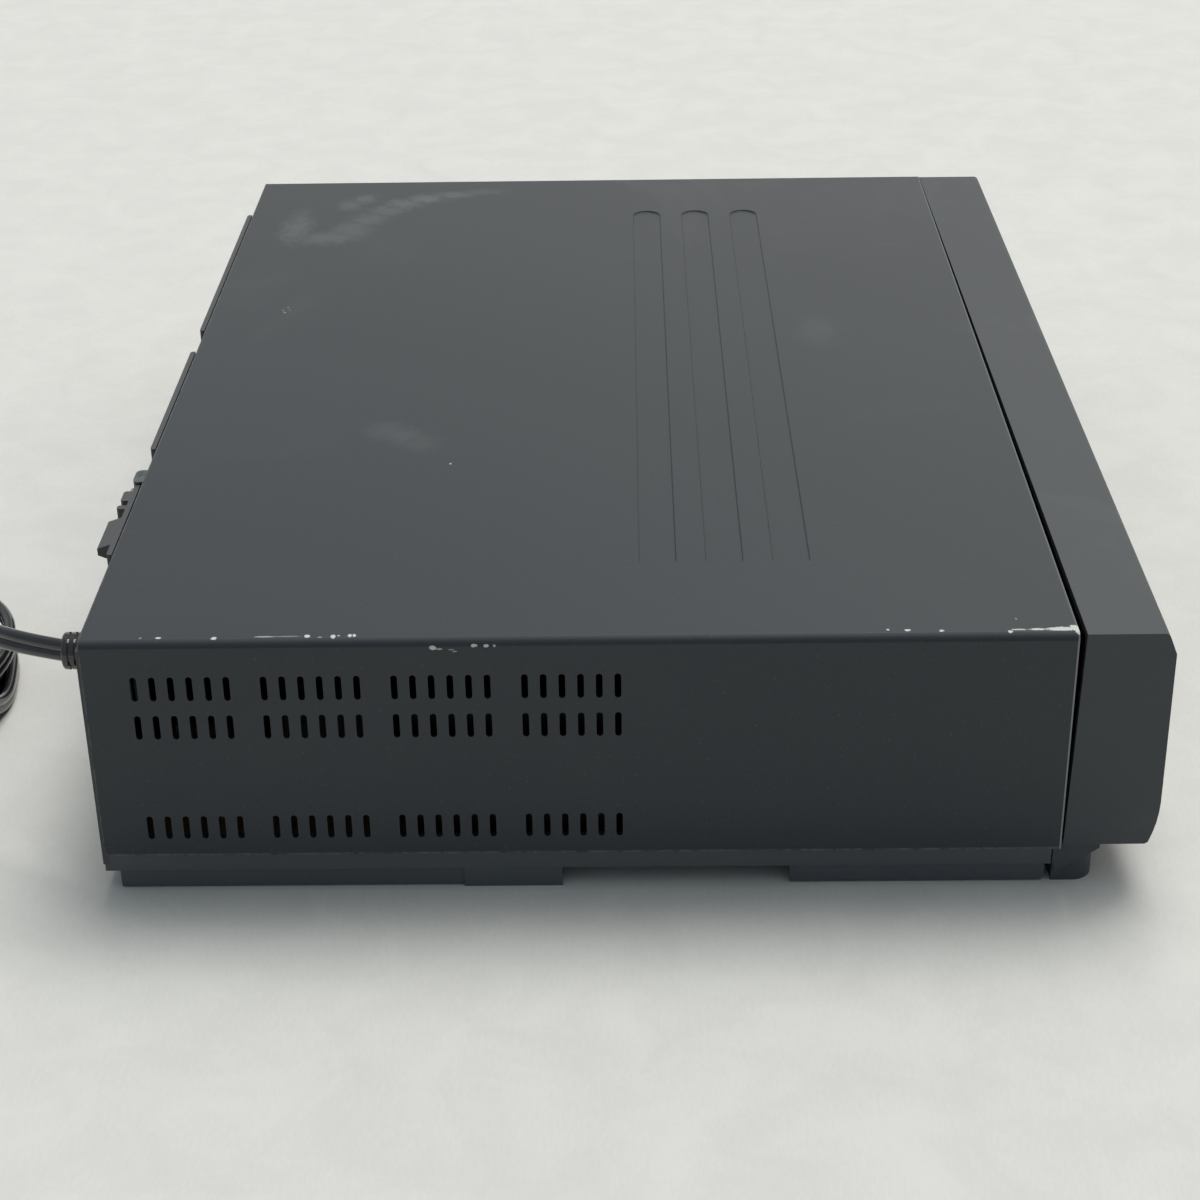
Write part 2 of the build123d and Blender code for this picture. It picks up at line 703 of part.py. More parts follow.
def make_flap_spring():
    """Coil of the flap's return spring, around the long left pin, one bulge per turn."""
    start = -slot_half - 8.5
    inner = flap_pin_radius + run_gap
    wire = 0.45
    turns = 4
    coil = tube_x(start, start + 2 * wire * turns, flap_axis_y, flap_axis_z, inner + wire, inner)
    for index in range(turns):
        centre = start + wire * (2 * index + 1)
        turn = Pos(centre, flap_axis_y, flap_axis_z) * Rot(0, 90, 0) * Torus(inner + wire, wire)
        coil += turn
    return coil


def make_display_window():
    """Smoked window, flush in the bezel, with a rim behind the opening."""
    half = window_width / 2 - 0.2
    low = window_bottom_z + 0.2
    high = window_bottom_z + window_height - 0.2
    pane = block(-half, half, face_y + 0.6, bezel_inner_y + 1.2, low, high)
    return pane + block(-half - 2.2, half + 2.2, bezel_inner_y + 0.1, bezel_inner_y + 1.2, low - 2, high + 2)


def make_display_panel():
    """Glass display tube with its pinched-off tip, in front of the board."""
    low = window_bottom_z + (window_height - display_height) / 2
    middle_y = front_board_y - display_depth / 2
    panel = block(-display_half, display_half, front_board_y - display_depth, front_board_y, low, low + display_height)
    return panel + post_x(display_half, display_half + 5, middle_y, low + display_height / 2, 1.6)


def make_front_board():
    """Key and display board, cut away round the cassette path."""
    rear = front_board_y + board_thickness
    board = block(-front_board_half, front_board_half, front_board_y, rear, front_board_bottom_z, front_board_top_z)
    path = slot_half + 7
    return board - block(-path, path, front_board_y - 1, rear + 1, slot_bottom_z - 3, front_board_top_z + 1)


ribbon_x = cover_half - 65.0
ribbon_width = 24.0
ribbon_plug = 4.5


def make_front_board_parts():
    """Key switches on the front of the board and the ribbon socket on its back."""
    parts = []
    half = switch_body / 2
    for name, x, z, width, height in button_layout:
        body = block(x - half, x + half, switch_y, front_board_y, z - half, z + half)
        parts.append(body - post_y(x, switch_y - 1, front_board_y - 0.5, z, stem_radius + run_gap))
    for end in (-1, 1):
        x = rocker_x + end * rocker_width / 3
        parts.append(block(x - half, x + half, switch_y, front_board_y, rocker_z - half, rocker_z + half))
    back = front_board_y + board_thickness
    socket_half = ribbon_width / 2 + 2
    low = front_board_bottom_z + 4
    parts.append(block(ribbon_x - socket_half, ribbon_x + socket_half, back, back + ribbon_plug, low, low + 5))
    return parts


def make_button(x, z, width, height):
    """Key cap with a stop flange behind the bezel and a stem into its switch."""
    front = face_y - button_proud
    cap = key(x, z, width, height, front, front + button_body, 1.2)
    cap = fillet(cap.edges().group_by(Axis.Y)[0], 0.5)
    flange_y = bezel_inner_y + 0.1
    flange = key(x, z, width + 2.6, height + 2.6, flange_y, flange_y + 1.4, 1.4)
    return cap + flange + post_y(x, flange_y, switch_y + 1.0, z, stem_radius)


def make_channel_rocker():
    """Rocking key on upright trunnions, with a prong in front of each switch."""
    front = face_y - button_proud
    body = key(rocker_x, rocker_z, rocker_width, rocker_height, front, front + button_body, 1.2)
    body = fillet(body.edges().group_by(Axis.Y)[0], 0.5)
    reach = rocker_height / 2 + 0.4 + 3.0
    body += post(rocker_x, rocker_pivot_y, rocker_z - reach, rocker_z + reach, flap_pin_radius)
    for end in (-1, 1):
        x = rocker_x + end * rocker_width / 3
        body += post_y(x, front + button_body - 1, switch_y - 1.0, rocker_z, stem_radius)
    return body


# ------------------------------------------------------------------ boards and connectors
tuner_connector_z = board_top_z + tuner_height / 2
selector_z = board_top_z + 7.0
selector_width = 3.2
selector_height = 4.0


def tuner_connectors():
    """X of the two aerial connectors."""
    return [tuner_x - f_connector_spacing / 2, tuner_x + f_connector_spacing / 2]


def phono_places():
    """X, Z of the phono sockets: three columns, two rows."""
    return [(phono_x + column * phono_spacing, board_top_z + 9 + row * phono_spacing)
            for row in (0, 1) for column in (-1, 0, 1)]


def selector_opening(y0, y1):
    """Room for the selector knob and its travel."""
    half = selector_width / 2 + selector_travel / 2 + 0.2
    high = selector_height / 2 + 0.2
    return block(tuner_x - half, tuner_x + half, y0, y1, selector_z - high, selector_z + high)


def make_main_board():
    """L-shaped board along the right side and the rear."""
    rear = panel_inner_y - 4
    board = block(main_left, main_right, seam_y + 34, rear, board_z, board_top_z)
    return board + block(supply_right + 8, main_left, deck_rear_y + 8, rear, board_z, board_top_z)


def make_board_chips():
    """Chips, cans, capacitors and the ribbon socket on the main board."""
    parts = []
    middle = (main_left + main_right) / 2
    chips = ((-16, 92, 22, 22, 2.6), (20, 96, 14, 20, 2.4), (-10, 132, 16, 10, 3.0), (22, 140, 24, 9, 4.0),
             (-14, 170, 26, 26, 2.6), (24, 178, 18, 18, 9.0), (-20, 206, 14, 8, 3.0), (18, 214, 30, 24, 12.0))
    for dx, dy, width, depth, height in chips:
        x = middle + dx
        y = seam_y + dy
        parts.append(block(x - width / 2, x + width / 2, y - depth / 2, y + depth / 2, board_top_z, board_top_z + height))
    for index in range(6):
        x = middle - 30 + 12 * index
        radius = 3.0 + 0.8 * (index % 3)
        parts.append(post(x, seam_y + 242, board_top_z, board_top_z + 9 + 2 * (index % 3), radius))
    for index in range(4):
        x = supply_right + 26 + 16 * index
        parts.append(block(x - 5, x + 5, deck_rear_y + 30, deck_rear_y + 38, board_top_z, board_top_z + 4))
    socket_half = ribbon_width / 2 + 2
    parts.append(block(ribbon_x - socket_half, ribbon_x + socket_half, seam_y + 48, seam_y + 54,
                       board_top_z, board_top_z + ribbon_plug))
    return parts


def make_ribbon_cable():
    """Flat ribbon from the front board to the main board, bent once."""
    start = (ribbon_x, front_board_y + board_thickness + ribbon_plug, front_board_bottom_z + 6.5)
    corner = (ribbon_x, seam_y + 51, front_board_bottom_z + 6.5)
    end = (ribbon_x, seam_y + 51, board_top_z + ribbon_plug)
    path = FilletPolyline(start, corner, end, radius=3.5)
    band = Plane(origin=start, x_dir=(1, 0, 0), z_dir=(0, 1, 0)) * Rectangle(ribbon_width, 0.5)
    return sweep(band, path=path)


def make_tuner_module():
    """Screened tuner with two threaded aerial connectors and a pocket for the selector."""
    top = board_top_z + tuner_height
    can = block(tuner_x - tuner_width / 2, tuner_x + tuner_width / 2, panel_inner_y - tuner_depth, panel_inner_y,
                board_top_z, top)
    can = fillet(can.edges().filter_by(Axis.Z), 1.0)
    can -= block(tuner_x - tuner_width / 2 + can_wall, tuner_x + tuner_width / 2 - can_wall,
                 panel_inner_y - tuner_depth + can_wall, panel_inner_y - can_wall, board_top_z - 1, top - can_wall)
    can -= selector_opening(panel_inner_y - 5, panel_inner_y + 1)
    for x in tuner_connectors():
        end = panel_face_y + f_connector_reach
        can += post_y(x, panel_inner_y - tuner_depth + 0.2, panel_inner_y, tuner_connector_z, 2.0)
        can += post_y(x, panel_inner_y - 1, panel_face_y + 0.8, tuner_connector_z, f_connector_radius + 1.2)
        can += post_y(x, panel_inner_y, end, tuner_connector_z, f_connector_radius)
        can -= post_y(x, end - 7, end + 1, tuner_connector_z, 1.0)
    return can


def make_channel_switch():
    """Knob of the output channel selector, at the left end of its slot."""
    x = tuner_x - selector_travel / 2
    half = selector_width / 2
    high = selector_height / 2
    knob = block(x - half, x + half, panel_inner_y - 4.8, panel_face_y + 1.6, selector_z - high, selector_z + high)
    return chamfer(knob.edges().group_by(Axis.Y)[-1], 0.4)


def make_av_jacks():
    """Block of phono sockets soldered to the main board."""
    half = phono_spacing * 1.5
    body = block(phono_x - half, phono_x + half, panel_inner_y - 14, panel_inner_y,
                 board_top_z, board_top_z + 18 + phono_spacing)
    for x, z in phono_places():
        end = panel_face_y + phono_reach
        body += post_y(x, panel_inner_y - 1, panel_face_y + phono_collar, z, phono_radius + 0.6)
        body += post_y(x, panel_inner_y - 1, end, z, phono_radius)
        body -= post_y(x, end - 7, end + 1, z, 1.7)
    return body


# ------------------------------------------------------------------ power supply
def make_power_board():
    """Supply board on the left of the tray."""
    return block(supply_left, supply_right, supply_front_y, supply_rear_y, board_z, board_top_z)


def make_power_transformer():
    """Ferrite core with its wound bobbin and a mains choke beside it."""
    x = supply_left + 46
    y = supply_rear_y - 58
    core = block(x - 20, x + 20, y - 15, y + 15, board_top_z, board_top_z + 30)
    core -= block(x - 12, x + 12, y - 16, y + 16, board_top_z + 6, board_top_z + 24)
    core += block(x - 5, x + 5, y - 15, y + 15, board_top_z + 5, board_top_z + 25)
    winding = block(x - 11.5, x + 11.5, y - 18, y + 18, board_top_z + 6.4, board_top_z + 23.6)
    choke = block(x - 10, x + 12, supply_rear_y - 26, supply_rear_y - 8, board_top_z, board_top_z + 20)
    return [core + fillet(winding.edges().filter_by(Axis.Y), 3.0), fillet(choke.edges().filter_by(Axis.Z), 2.0)]


def make_supply_capacitors():
    """Reservoir capacitor and the smaller smoothing capacitors."""
    parts = []
    big = post(supply_left + 60, supply_front_y + 36, board_top_z, board_top_z + capacitor_height, capacitor_radius)
    parts.append(fillet(big.edges().group_by(Axis.Z)[-1], 1.2))
    for index in range(5):
        x = supply_left + 22 + 11 * index
        small = post(x, supply_front_y + 14, board_top_z, board_top_z + 16, 4.4)
        parts.append(fillet(small.edges().group_by(Axis.Z)[-1], 0.6))
    return parts


def make_power_heatsink():
    """Aluminium comb along the left side of the supply board, with its transistor."""
    x = supply_left + 2
    start = supply_front_y + 2
    top = board_top_z + heatsink_height
    sink = block(x, x + 2.4, start, start + heatsink_length, board_top_z, top)
    fins = 7
    for index in range(fins):
        y = start + 1 + index * (heatsink_length - 2) / (fins - 1)
        sink += block(x, x + 12, y - 0.7, y + 0.7, board_top_z, top)
    return sink


def make_mains_fuse():
    """Glass fuse in two spring clips, near the cord's entry."""
    x = supply_left + 12
    start = supply_rear_y - 44
    z = board_top_z + 6.0
    fuse = post_y(x, start, start + fuse_length, z, fuse_radius)
    for y in (start + 3, start + fuse_length - 3):
        fuse += block(x - 3.4, x + 3.4, y - 2, y + 2, board_top_z, z)
    return fuse


# ------------------------------------------------------------------ tape deck
capstan_low_z = 14.0
flywheel_z = 16.2
pulley_z = flywheel_z + flywheel_thickness
belt_z = pulley_z + (pulley_height - belt_width) / 2
housing_low_z = pulley_z + pulley_height + 0.6
housing_top_z = deck_level + 10.0
housing_radius = 5.5
bearing = shaft_clearance
clutch_bush_radius = 4.0
clutch_bush_top_z = deck_level + 1.6
drive_z = clutch_bush_top_z + run_gap
reel_disc_z = deck_level + 2.0
reel_top_z = reel_disc_z + reel_disc + reel_hub_height
pinch_low_z = housing_top_z + 1.5
cam_x = 70.0
cam_y = seam_y + 185.0
cam_post_radius = 2.5
cam_z = deck_level + 0.4
pinion_x = cam_x - gear_module * (cam_teeth + pinion_teeth) / 2
tension_pivot = (-80.0, door_y + 11.5)
tension_reach = (25.0, -16.0)
rotor_radius = 20.0
drum_ring_radius = 27.5
drum_ring_bore = 23.5


def guide_ends(side):
    """Rest and loaded position of a guide; side is -1 for supply and +1 for take-up."""
    start = (side * guide_start[0], door_y - guide_start[1])
    end = (drum_x + side * guide_end[0], drum_y - guide_end[1])
    return start, end


def pinch_places():
    """Pivot of the pinch arm and the roller's centre at rest."""
    pivot = (capstan_x + pinch_pivot_offset[0], capstan_y + pinch_pivot_offset[1])
    pressed = Vector(capstan_radius + pinch_radius + run_gap - pinch_pivot_offset[0], -pinch_pivot_offset[1])
    rest = pressed.rotate(Axis.Z, pinch_swing)
    return pivot, (pivot[0] + rest.X, pivot[1] + rest.Y)


def make_deck_plate():
    """Steel deck with reel, arm and cam posts, the clutch bush and the openings for the drive."""
    deck = block(-deck_half_width, deck_half_width, deck_front_y, deck_rear_y, deck_under_z, deck_level)
    deck = fillet(deck.edges().filter_by(Axis.Z), 4.0)
    deck -= post(drum_x, drum_y, deck_under_z - 1, deck_level + 1, drum_ring_bore + 1.0)
    deck -= post(capstan_x, capstan_y, deck_under_z - 1, deck_level + 1, housing_radius + bearing)
    deck -= post(pinion_x, cam_y, deck_under_z - 1, deck_level + 1, 2.4)
    for side in (-1, 1):
        start, end = guide_ends(side)
        middle = ((start[0] + end[0]) / 2, (start[1] + end[1]) / 2)
        run = Vector(end[0] - start[0], end[1] - start[1])
        turn = math.degrees(math.atan2(run.Y, run.X))
        slot = Pos(middle[0], middle[1], deck_under_z - 1) * Rot(0, 0, turn) * SlotOverall(run.length + 5.0, 5.0)
        deck -= extrude(slot, amount=deck_gauge + 2)
        deck += post(side * reel_x, reel_y, deck_under_z, reel_top_z + 1, reel_post_radius)
    for x, y in deck_posts():
        deck -= post(x, y, deck_under_z - 1, deck_level + 1, 1.6)
    pivot, rest = pinch_places()
    deck += post(pivot[0], pivot[1], deck_under_z, deck_level + 8, cam_post_radius)
    deck += post(tension_pivot[0], tension_pivot[1], deck_under_z, deck_level + 6, cam_post_radius)
    deck += post(cam_x, cam_y, deck_under_z, cam_z + gear_width + 1.5, cam_post_radius)
    deck += post(0, clutch_y, housing_low_z, clutch_bush_top_z, clutch_bush_radius)
    return deck - post(0, clutch_y, 0, cover_top_z, clutch_shaft_radius + bearing)


def make_lower_drum():
    """Fixed half of the head drum on its ring, leaning back."""
    drum = Pos(0, 0, lower_drum_height / 2) * Cylinder(drum_radius, lower_drum_height)
    ring = Pos(0, 0, -10) * Cylinder(drum_ring_radius, 20) - Pos(0, 0, -11.4) * Cylinder(drum_ring_bore, 20)
    shelf = Pos(0, 0, lower_drum_height) * (Cylinder(drum_radius + 1, 5) - Cylinder(drum_radius - 0.6, 6))
    drum = drum - shelf
    drum += ring
    drum -= Cylinder(drum_shaft_radius + bearing, 80)
    return lean(drum, drum_x, drum_y, drum_base_z, drum_tilt) - block(-60, 60, door_y, deck_rear_y, 0, deck_level)


def make_upper_drum():
    """Spinning half of the head drum with its shaft and rotor."""
    low = lower_drum_height + run_gap
    drum = Pos(0, 0, low + upper_drum_height / 2) * Cylinder(drum_radius, upper_drum_height)
    drum = chamfer(drum.edges().group_by(Axis.Z)[-1], 0.8)
    drum -= Pos(0, 0, low + upper_drum_height) * (Cylinder(drum_radius - 7, 8) - Cylinder(9, 9))
    for index in range(4):
        hole = Rot(0, 0, 45 + 90 * index) * Pos(drum_radius - 12, 0, low + upper_drum_height - 4)
        drum -= hole * Cylinder(1.6, 6)
    drum += Pos(0, 0, (low - 8) / 2) * Cylinder(drum_shaft_radius, low + 8)
    drum += Pos(0, 0, -4.4) * Cylinder(rotor_radius, 3.0)
    return lean(drum, drum_x, drum_y, drum_base_z, drum_tilt)


def make_capstan_housing():
    """Bearing of the capstan, flanged to the deck."""
    housing = post(capstan_x, capstan_y, housing_low_z, housing_top_z, housing_radius)
    housing += post(capstan_x, capstan_y, deck_level, deck_level + 2, housing_radius + 2)
    return housing - post(capstan_x, capstan_y, 0, cover_top_z, capstan_radius + bearing)


def pulley(x, y, radius):
    """Belt pulley with two rims."""
    rim = 0.6
    wheel = post(x, y, pulley_z, pulley_z + pulley_height, radius)
    wheel += post(x, y, pulley_z, pulley_z + rim, radius + 1.5)
    return wheel + post(x, y, pulley_z + pulley_height - rim, pulley_z + pulley_height, radius + 1.5)


def make_capstan():
    """Capstan shaft with flywheel and belt pulley."""
    shaft = post(capstan_x, capstan_y, capstan_low_z, deck_level + capstan_height, capstan_radius)
    wheel = post(capstan_x, capstan_y, flywheel_z, pulley_z, flywheel_radius)
    wheel = fillet(wheel.edges(), 0.8)
    return shaft + wheel + pulley(capstan_x, capstan_y, capstan_pulley_radius)


def make_capstan_motor_board():
    """Motor board below the flywheel, hung from the deck on three spacers."""
    board_low = capstan_low_z - 0.6 - motor_board_thickness
    board = block(capstan_x - 32, capstan_x + 30, capstan_y - 30, capstan_y + 30, board_low, capstan_low_z - 0.6)
    for angle in (-60, 60, 180):
        x = capstan_x + (flywheel_radius + 4) * math.cos(math.radians(angle))
        y = capstan_y + (flywheel_radius + 4) * math.sin(math.radians(angle))
        board += post(x, y, board_low, deck_under_z, 2.5)
    return board


def make_pinch_arm():
    """Arm and axle of the pinch roller."""
    (px, py), (rx, ry) = pinch_places()
    low = deck_level + 2.4
    outline = make_hull((Pos(px, py) * Circle(5.5)).edges() + (Pos(rx, ry) * Circle(3.0)).edges())
    arm = extrude(Pos(0, 0, low) * outline, amount=2.0)
    arm += post(px, py, deck_level + 0.4, deck_level + 7.5, 5.0)
    arm += post(rx, ry, low, pinch_low_z - run_gap, 3.0)
    arm += post(rx, ry, low, pinch_low_z + pinch_width + 1.5, pinch_pin_radius)
    return arm - post(px, py, 0, cover_top_z, cam_post_radius + bearing)


def make_pinch_roller():
    """Rubber roller on the pinch arm's axle."""
    x, y = pinch_places()[1]
    return tube(x, y, pinch_low_z, pinch_low_z + pinch_width, pinch_radius, pinch_pin_radius + bearing)


def make_reel(x):
    """Reel table with a splined hub."""
    reel = post(x, reel_y, deck_level + 0.3, reel_disc_z, 5.0)
    reel += post(x, reel_y, reel_disc_z, reel_disc_z + reel_disc, reel_radius)
    hub = post(x, reel_y, reel_disc_z + reel_disc, reel_top_z, reel_hub_radius - 2)
    for index in range(6):
        fin = Box(2 * reel_hub_radius - 2, 1.6, reel_hub_height)
        reel += Pos(x, reel_y, reel_top_z - reel_hub_height / 2) * Rot(0, 0, 30 * index) * fin
    reel += fillet(hub.edges().group_by(Axis.Z)[-1], 1.5)
    return reel - post(x, reel_y, 0, cover_top_z, reel_post_radius + bearing)


def make_clutch_pulley():
    """Clutch shaft with the belt pulley below the deck and the drive roller above it."""
    shaft = post(0, clutch_y, pulley_z - 1, drive_z + reel_disc, clutch_shaft_radius)
    return shaft + pulley(0, clutch_y, clutch_pulley_radius) + post(0, clutch_y, drive_z, drive_z + reel_disc,
                                                                    drive_roller_radius)


def make_idler_arm():
    """Swinging arm that carries the idler wheel, turning on the clutch bush."""
    low = deck_level + run_gap
    outline = make_hull((Pos(0, clutch_y) * Circle(7.0)).edges() + (Pos(0, idler_y) * Circle(4.0)).edges())
    arm = extrude(Pos(0, 0, low) * outline, amount=1.0)
    arm += post(0, idler_y, low, drive_z + reel_disc, pinch_pin_radius)
    return arm - post(0, clutch_y, 0, cover_top_z, clutch_bush_radius + bearing)


def make_idler_wheel():
    """Rubber-tyred idler between the drive roller and the reel tables."""
    wheel = post(0, idler_y, drive_z, drive_z + reel_disc, idler_radius)
    return wheel - post(0, idler_y, 0, cover_top_z, pinch_pin_radius + bearing)


def make_reel_belt():
    """Belt from the capstan to the clutch."""
    def loop(extra):
        small = Pos(capstan_x, capstan_y) * Circle(capstan_pulley_radius + extra)
        large = Pos(0, clutch_y) * Circle(clutch_pulley_radius + extra)
        return make_hull(small.edges() + large.edges())
    band = loop(run_gap + belt_thickness) - loop(run_gap)
    return extrude(Pos(0, 0, belt_z) * band, amount=belt_width)


def spur(x, y, z, teeth, phase):
    """Spur wheel with straight flanks and a little backlash."""
    pitch_radius = gear_module * teeth / 2
    tip = pitch_radius + 0.8 * gear_module
    root = pitch_radius - 1.2 * gear_module
    half_tip = 0.4 * gear_module / tip
    half_root = 1.1 * gear_module / root
    points = []
    for index in range(teeth):
        centre = 2 * math.pi * index / teeth + math.radians(phase)
        for radius, angle in ((root, -half_root), (tip, -half_tip), (tip, half_tip), (root, half_root)):
            points.append((x + radius * math.cos(centre + angle), y + radius * math.sin(centre + angle)))
    return extrude(Pos(0, 0, z) * make_face(Polyline(*points, close=True)), amount=gear_width)


def make_cam_gear():
    """Mode cam: a large spur wheel with a raised track."""
    cam = spur(cam_x, cam_y, cam_z, cam_teeth, 180)
    top = cam_z + gear_width
    cam += tube(cam_x, cam_y, top - 0.5, top + 1.2, 6.0, 3.0)
    cam += Pos(cam_x + 3, cam_y, 0) * tube(0, 0, top - 0.5, top + 1.0, 17.0, 15.0)
    for index in range(4):
        angle = math.radians(45 + 90 * index)
        cam -= post(cam_x + 10.5 * math.cos(angle), cam_y + 10.5 * math.sin(angle), cam_z - 1, top + 2, 3.0)
    return cam - post(cam_x, cam_y, 0, cover_top_z, cam_post_radius + bearing)


def make_loading_gear():
    """Motor pinion on its shaft."""
    pinion = spur(pinion_x, cam_y, cam_z, pinion_teeth, 360 / pinion_teeth / 2)
    return pinion + post(pinion_x, cam_y, deck_under_z - 4, cam_z + gear_width + 1, 1.0)


def make_loading_motor():
    """Small can motor under the deck."""
    low = deck_under_z - 17.5
    motor = post(pinion_x, cam_y, low, deck_under_z, loading_motor_radius)
    motor = fillet(motor.edges().group_by(Axis.Z)[0], 1.5)
    return motor - post(pinion_x, cam_y, deck_under_z - 6, deck_under_z + 1, 1.0 + bearing)


def make_guide(side):
    """Tape guide on its sliding block, held in the deck slot by a keeper underneath."""
    x, y = guide_ends(side)[0]
    low = deck_level + run_gap
    shoe = block(x - guide_block + 1, x + guide_block - 1, y - guide_block, y + guide_block, low, low + 3.7)
    guide = fillet(shoe.edges().filter_by(Axis.Z), 1.5)
    guide += post(x, y, deck_under_z - 1, low + 1, 2.2)
    guide += post(x, y, deck_under_z - run_gap - 1.2, deck_under_z - run_gap, 4.5)
    guide += post(x, y, low + 3, low + 3.7 + guide_height, 1.5)
    guide += post(x, y, low + 8, low + 2 + guide_height, guide_roller_radius)
    for z in (low + 7, low + 2 + guide_height):
        guide += post(x, y, z, z + 1.2, guide_roller_radius + 1.2)
    pole = Pos(x, y - 4, low + 3) * Rot(-6, 0, 0) * Pos(0, 0, 8) * Cylinder(0.9, 16)
    return guide + pole


def make_tape_heads():
    """Erase head and the sound and control head, each on its bracket."""
    parts = []
    for x, y, width in ((-62.0, door_y + 23.5, 8.0), (capstan_x, capstan_y + 15, 8.0)):
        half = width / 2
        foot = block(x - half - 1, x + half + 1, y - 4, y + 9, deck_level, deck_level + 2)
        stem = block(x - half, x + half, y + 5, y + 7, deck_level, deck_level + 24)
        head = block(x - half, x + half, y - 3, y + 5.5, deck_level + 9, deck_level + 25)
        head = fillet(head.edges().filter_by(Axis.Z).group_by(Axis.Y)[0], 2.5)
        parts.append(foot + stem + head)
    return parts


def make_tension_arm():
    """Arm with the tape tension post."""
    px, py = tension_pivot
    tx = px + tension_reach[0]
    ty = py + tension_reach[1]
    low = deck_level + 1.0
    outline = make_hull((Pos(px, py) * Circle(5.0)).edges() + (Pos(tx, ty) * Circle(3.0)).edges())
    arm = extrude(Pos(0, 0, low) * outline, amount=1.5)
    arm += post(px, py, deck_level + 0.3, deck_level + 5, 4.5)
    arm += post(tx, ty, low, deck_level + 24, 1.5)
    return arm - post(px, py, 0, cover_top_z, cam_post_radius + bearing)


# ------------------------------------------------------------------ cassette carriage
guide_pin_z = 78.0
guide_pin_y = (seam_y + 18.0, seam_y + 58.0)
basket_pin_z = 67.0
basket_pin_y = (seam_y + 22.0, seam_y + 54.0)
rail_front_y = seam_y + 9.0
rail_rear_y = seam_y + 122.0


def make_carriage_frame():
    """Two upright side plates with level slots, joined by a bridge over the carriage."""
    frame = Part()
    reach = carriage_pin_radius + slot_clearance
    for side in (-1, 1):
        inner = side * frame_half
        outer = side * frame_outer
        plate = block(inner, outer, rail_front_y, rail_rear_y, deck_level, guide_pin_z + 4.5)
        corners = plate.edges().filter_by(Axis.X).group_by(Axis.Z)[-1]
        frame += fillet(corners, 3.0)
        frame += block(inner, side * deck_half_width, rail_front_y, rail_rear_y, deck_level, deck_level + carriage_sheet)
        frame += block(inner, outer, seam_y + bridge_start, seam_y + bridge_end, guide_pin_z,
                       frame_roof_z + carriage_sheet)
        frame -= block(inner - side, outer + side, guide_pin_y[0], guide_pin_y[1] + carriage_travel,
                       guide_pin_z - reach, guide_pin_z + reach)
        for y in (guide_pin_y[0], guide_pin_y[1] + carriage_travel):
            frame -= post_x(inner - side, outer + side, y, guide_pin_z, reach)
        for start in (seam_y + 24, seam_y + 62):
            frame -= block(inner - side, outer + side, start, start + 24, deck_level + 10, deck_level + 32)
    frame += block(-frame_outer, frame_outer, seam_y + bridge_start, seam_y + bridge_end, frame_roof_z,
                   frame_roof_z + carriage_sheet)
    for x, y in deck_posts():
        frame -= post(x, y, deck_level - 1, deck_level + 3, 1.6)
    return frame


def make_carriage_slider():
    """Sliding side plates with upright slots that let the basket sink."""
    slider = Part()
    reach = carriage_pin_radius + slot_clearance
    for side in (-1, 1):
        outer = side * slider_half
        inner = side * (slider_half - carriage_sheet)
        plate = block(inner, outer, seam_y + 12, seam_y + 64, deck_level + 14, slider_roof_z)
        slider += fillet(plate.edges().filter_by(Axis.X).group_by(Axis.Z)[0], 4.0)
        for y in basket_pin_y:
            slider -= block(inner - side, outer + side, y - reach, y + reach, basket_pin_z - cassette_drop, basket_pin_z)
            for z in (basket_pin_z - cassette_drop, basket_pin_z):
                slider -= post_x(inner - side, outer + side, y, z, reach)
        for y in guide_pin_y:
            slider += post_x(inner, side * (frame_outer + 0.8), y, guide_pin_z, carriage_pin_radius)
    return slider + block(-slider_half, slider_half, seam_y + strap_start, seam_y + strap_end, slider_roof_z,
                          slider_roof_z + carriage_sheet)


def make_cassette_carriage():
    """Basket that holds the cassette: side walls, ledges, roof and rear stops."""
    basket = Part()
    wall_inner = basket_half - carriage_sheet
    stop_y = basket_rear_y - carriage_sheet
    for side in (-1, 1):
        inner = side * wall_inner
        basket += block(inner, side * basket_half, basket_front_y, basket_rear_y,
                        cassette_level - carriage_sheet, basket_roof_z + carriage_sheet)
        basket += block(side * (wall_inner - ledge_width), inner, basket_front_y, basket_rear_y,
                        cassette_level - carriage_sheet, cassette_level)
        basket += block(side * (wall_inner - ledge_width), inner, stop_y, basket_rear_y,
                        cassette_level - carriage_sheet, cassette_level + 15)
        for y in basket_pin_y:
            basket += post_x(inner, side * (slider_half + 0.8), y, basket_pin_z, carriage_pin_radius)
    roof = block(-basket_half, basket_half, basket_front_y, basket_rear_y, basket_roof_z, basket_roof_z + carriage_sheet)
    for x in (-60, 0, 60):
        roof -= block(x - 18, x + 18, basket_front_y + 14, basket_front_y + 46, basket_roof_z - 1, cover_top_z)
    return basket + roof


# ------------------------------------------------------------------ mains cord
cord_radius = cord_diameter / 2
coil_height = coil_layers * cord_diameter
coil_outer = coil_outer_turn + cord_radius
coil_inner = coil_inner_turn - cord_radius
cord_end = tuple((a + b) / 2 for a, b in zip(cord_route[-4], cord_route[-3]))
tail_radius = 33.0


def bend_radii(points):
    """The bend at each inner point, as wide as the shorter of its two runs allows."""
    radii = []
    for before, corner, after in zip(points, points[1:], points[2:]):
        into = Vector(*corner) - Vector(*before)
        away = Vector(*after) - Vector(*corner)
        half_turn = math.radians(into.get_angle(away)) / 2
        radii.append(0.45 * min(into.length, away.length) / math.tan(half_turn))
    return radii


def cord_tube(points):
    """Round cord along straight runs joined by tangent bends."""
    radii = bend_radii(points)
    path = FilletPolyline(*points, radius=radii)
    heading = Vector(*points[1]) - Vector(*points[0])
    return sweep(Plane(origin=points[0], z_dir=heading) * Circle(cord_radius), path=path)


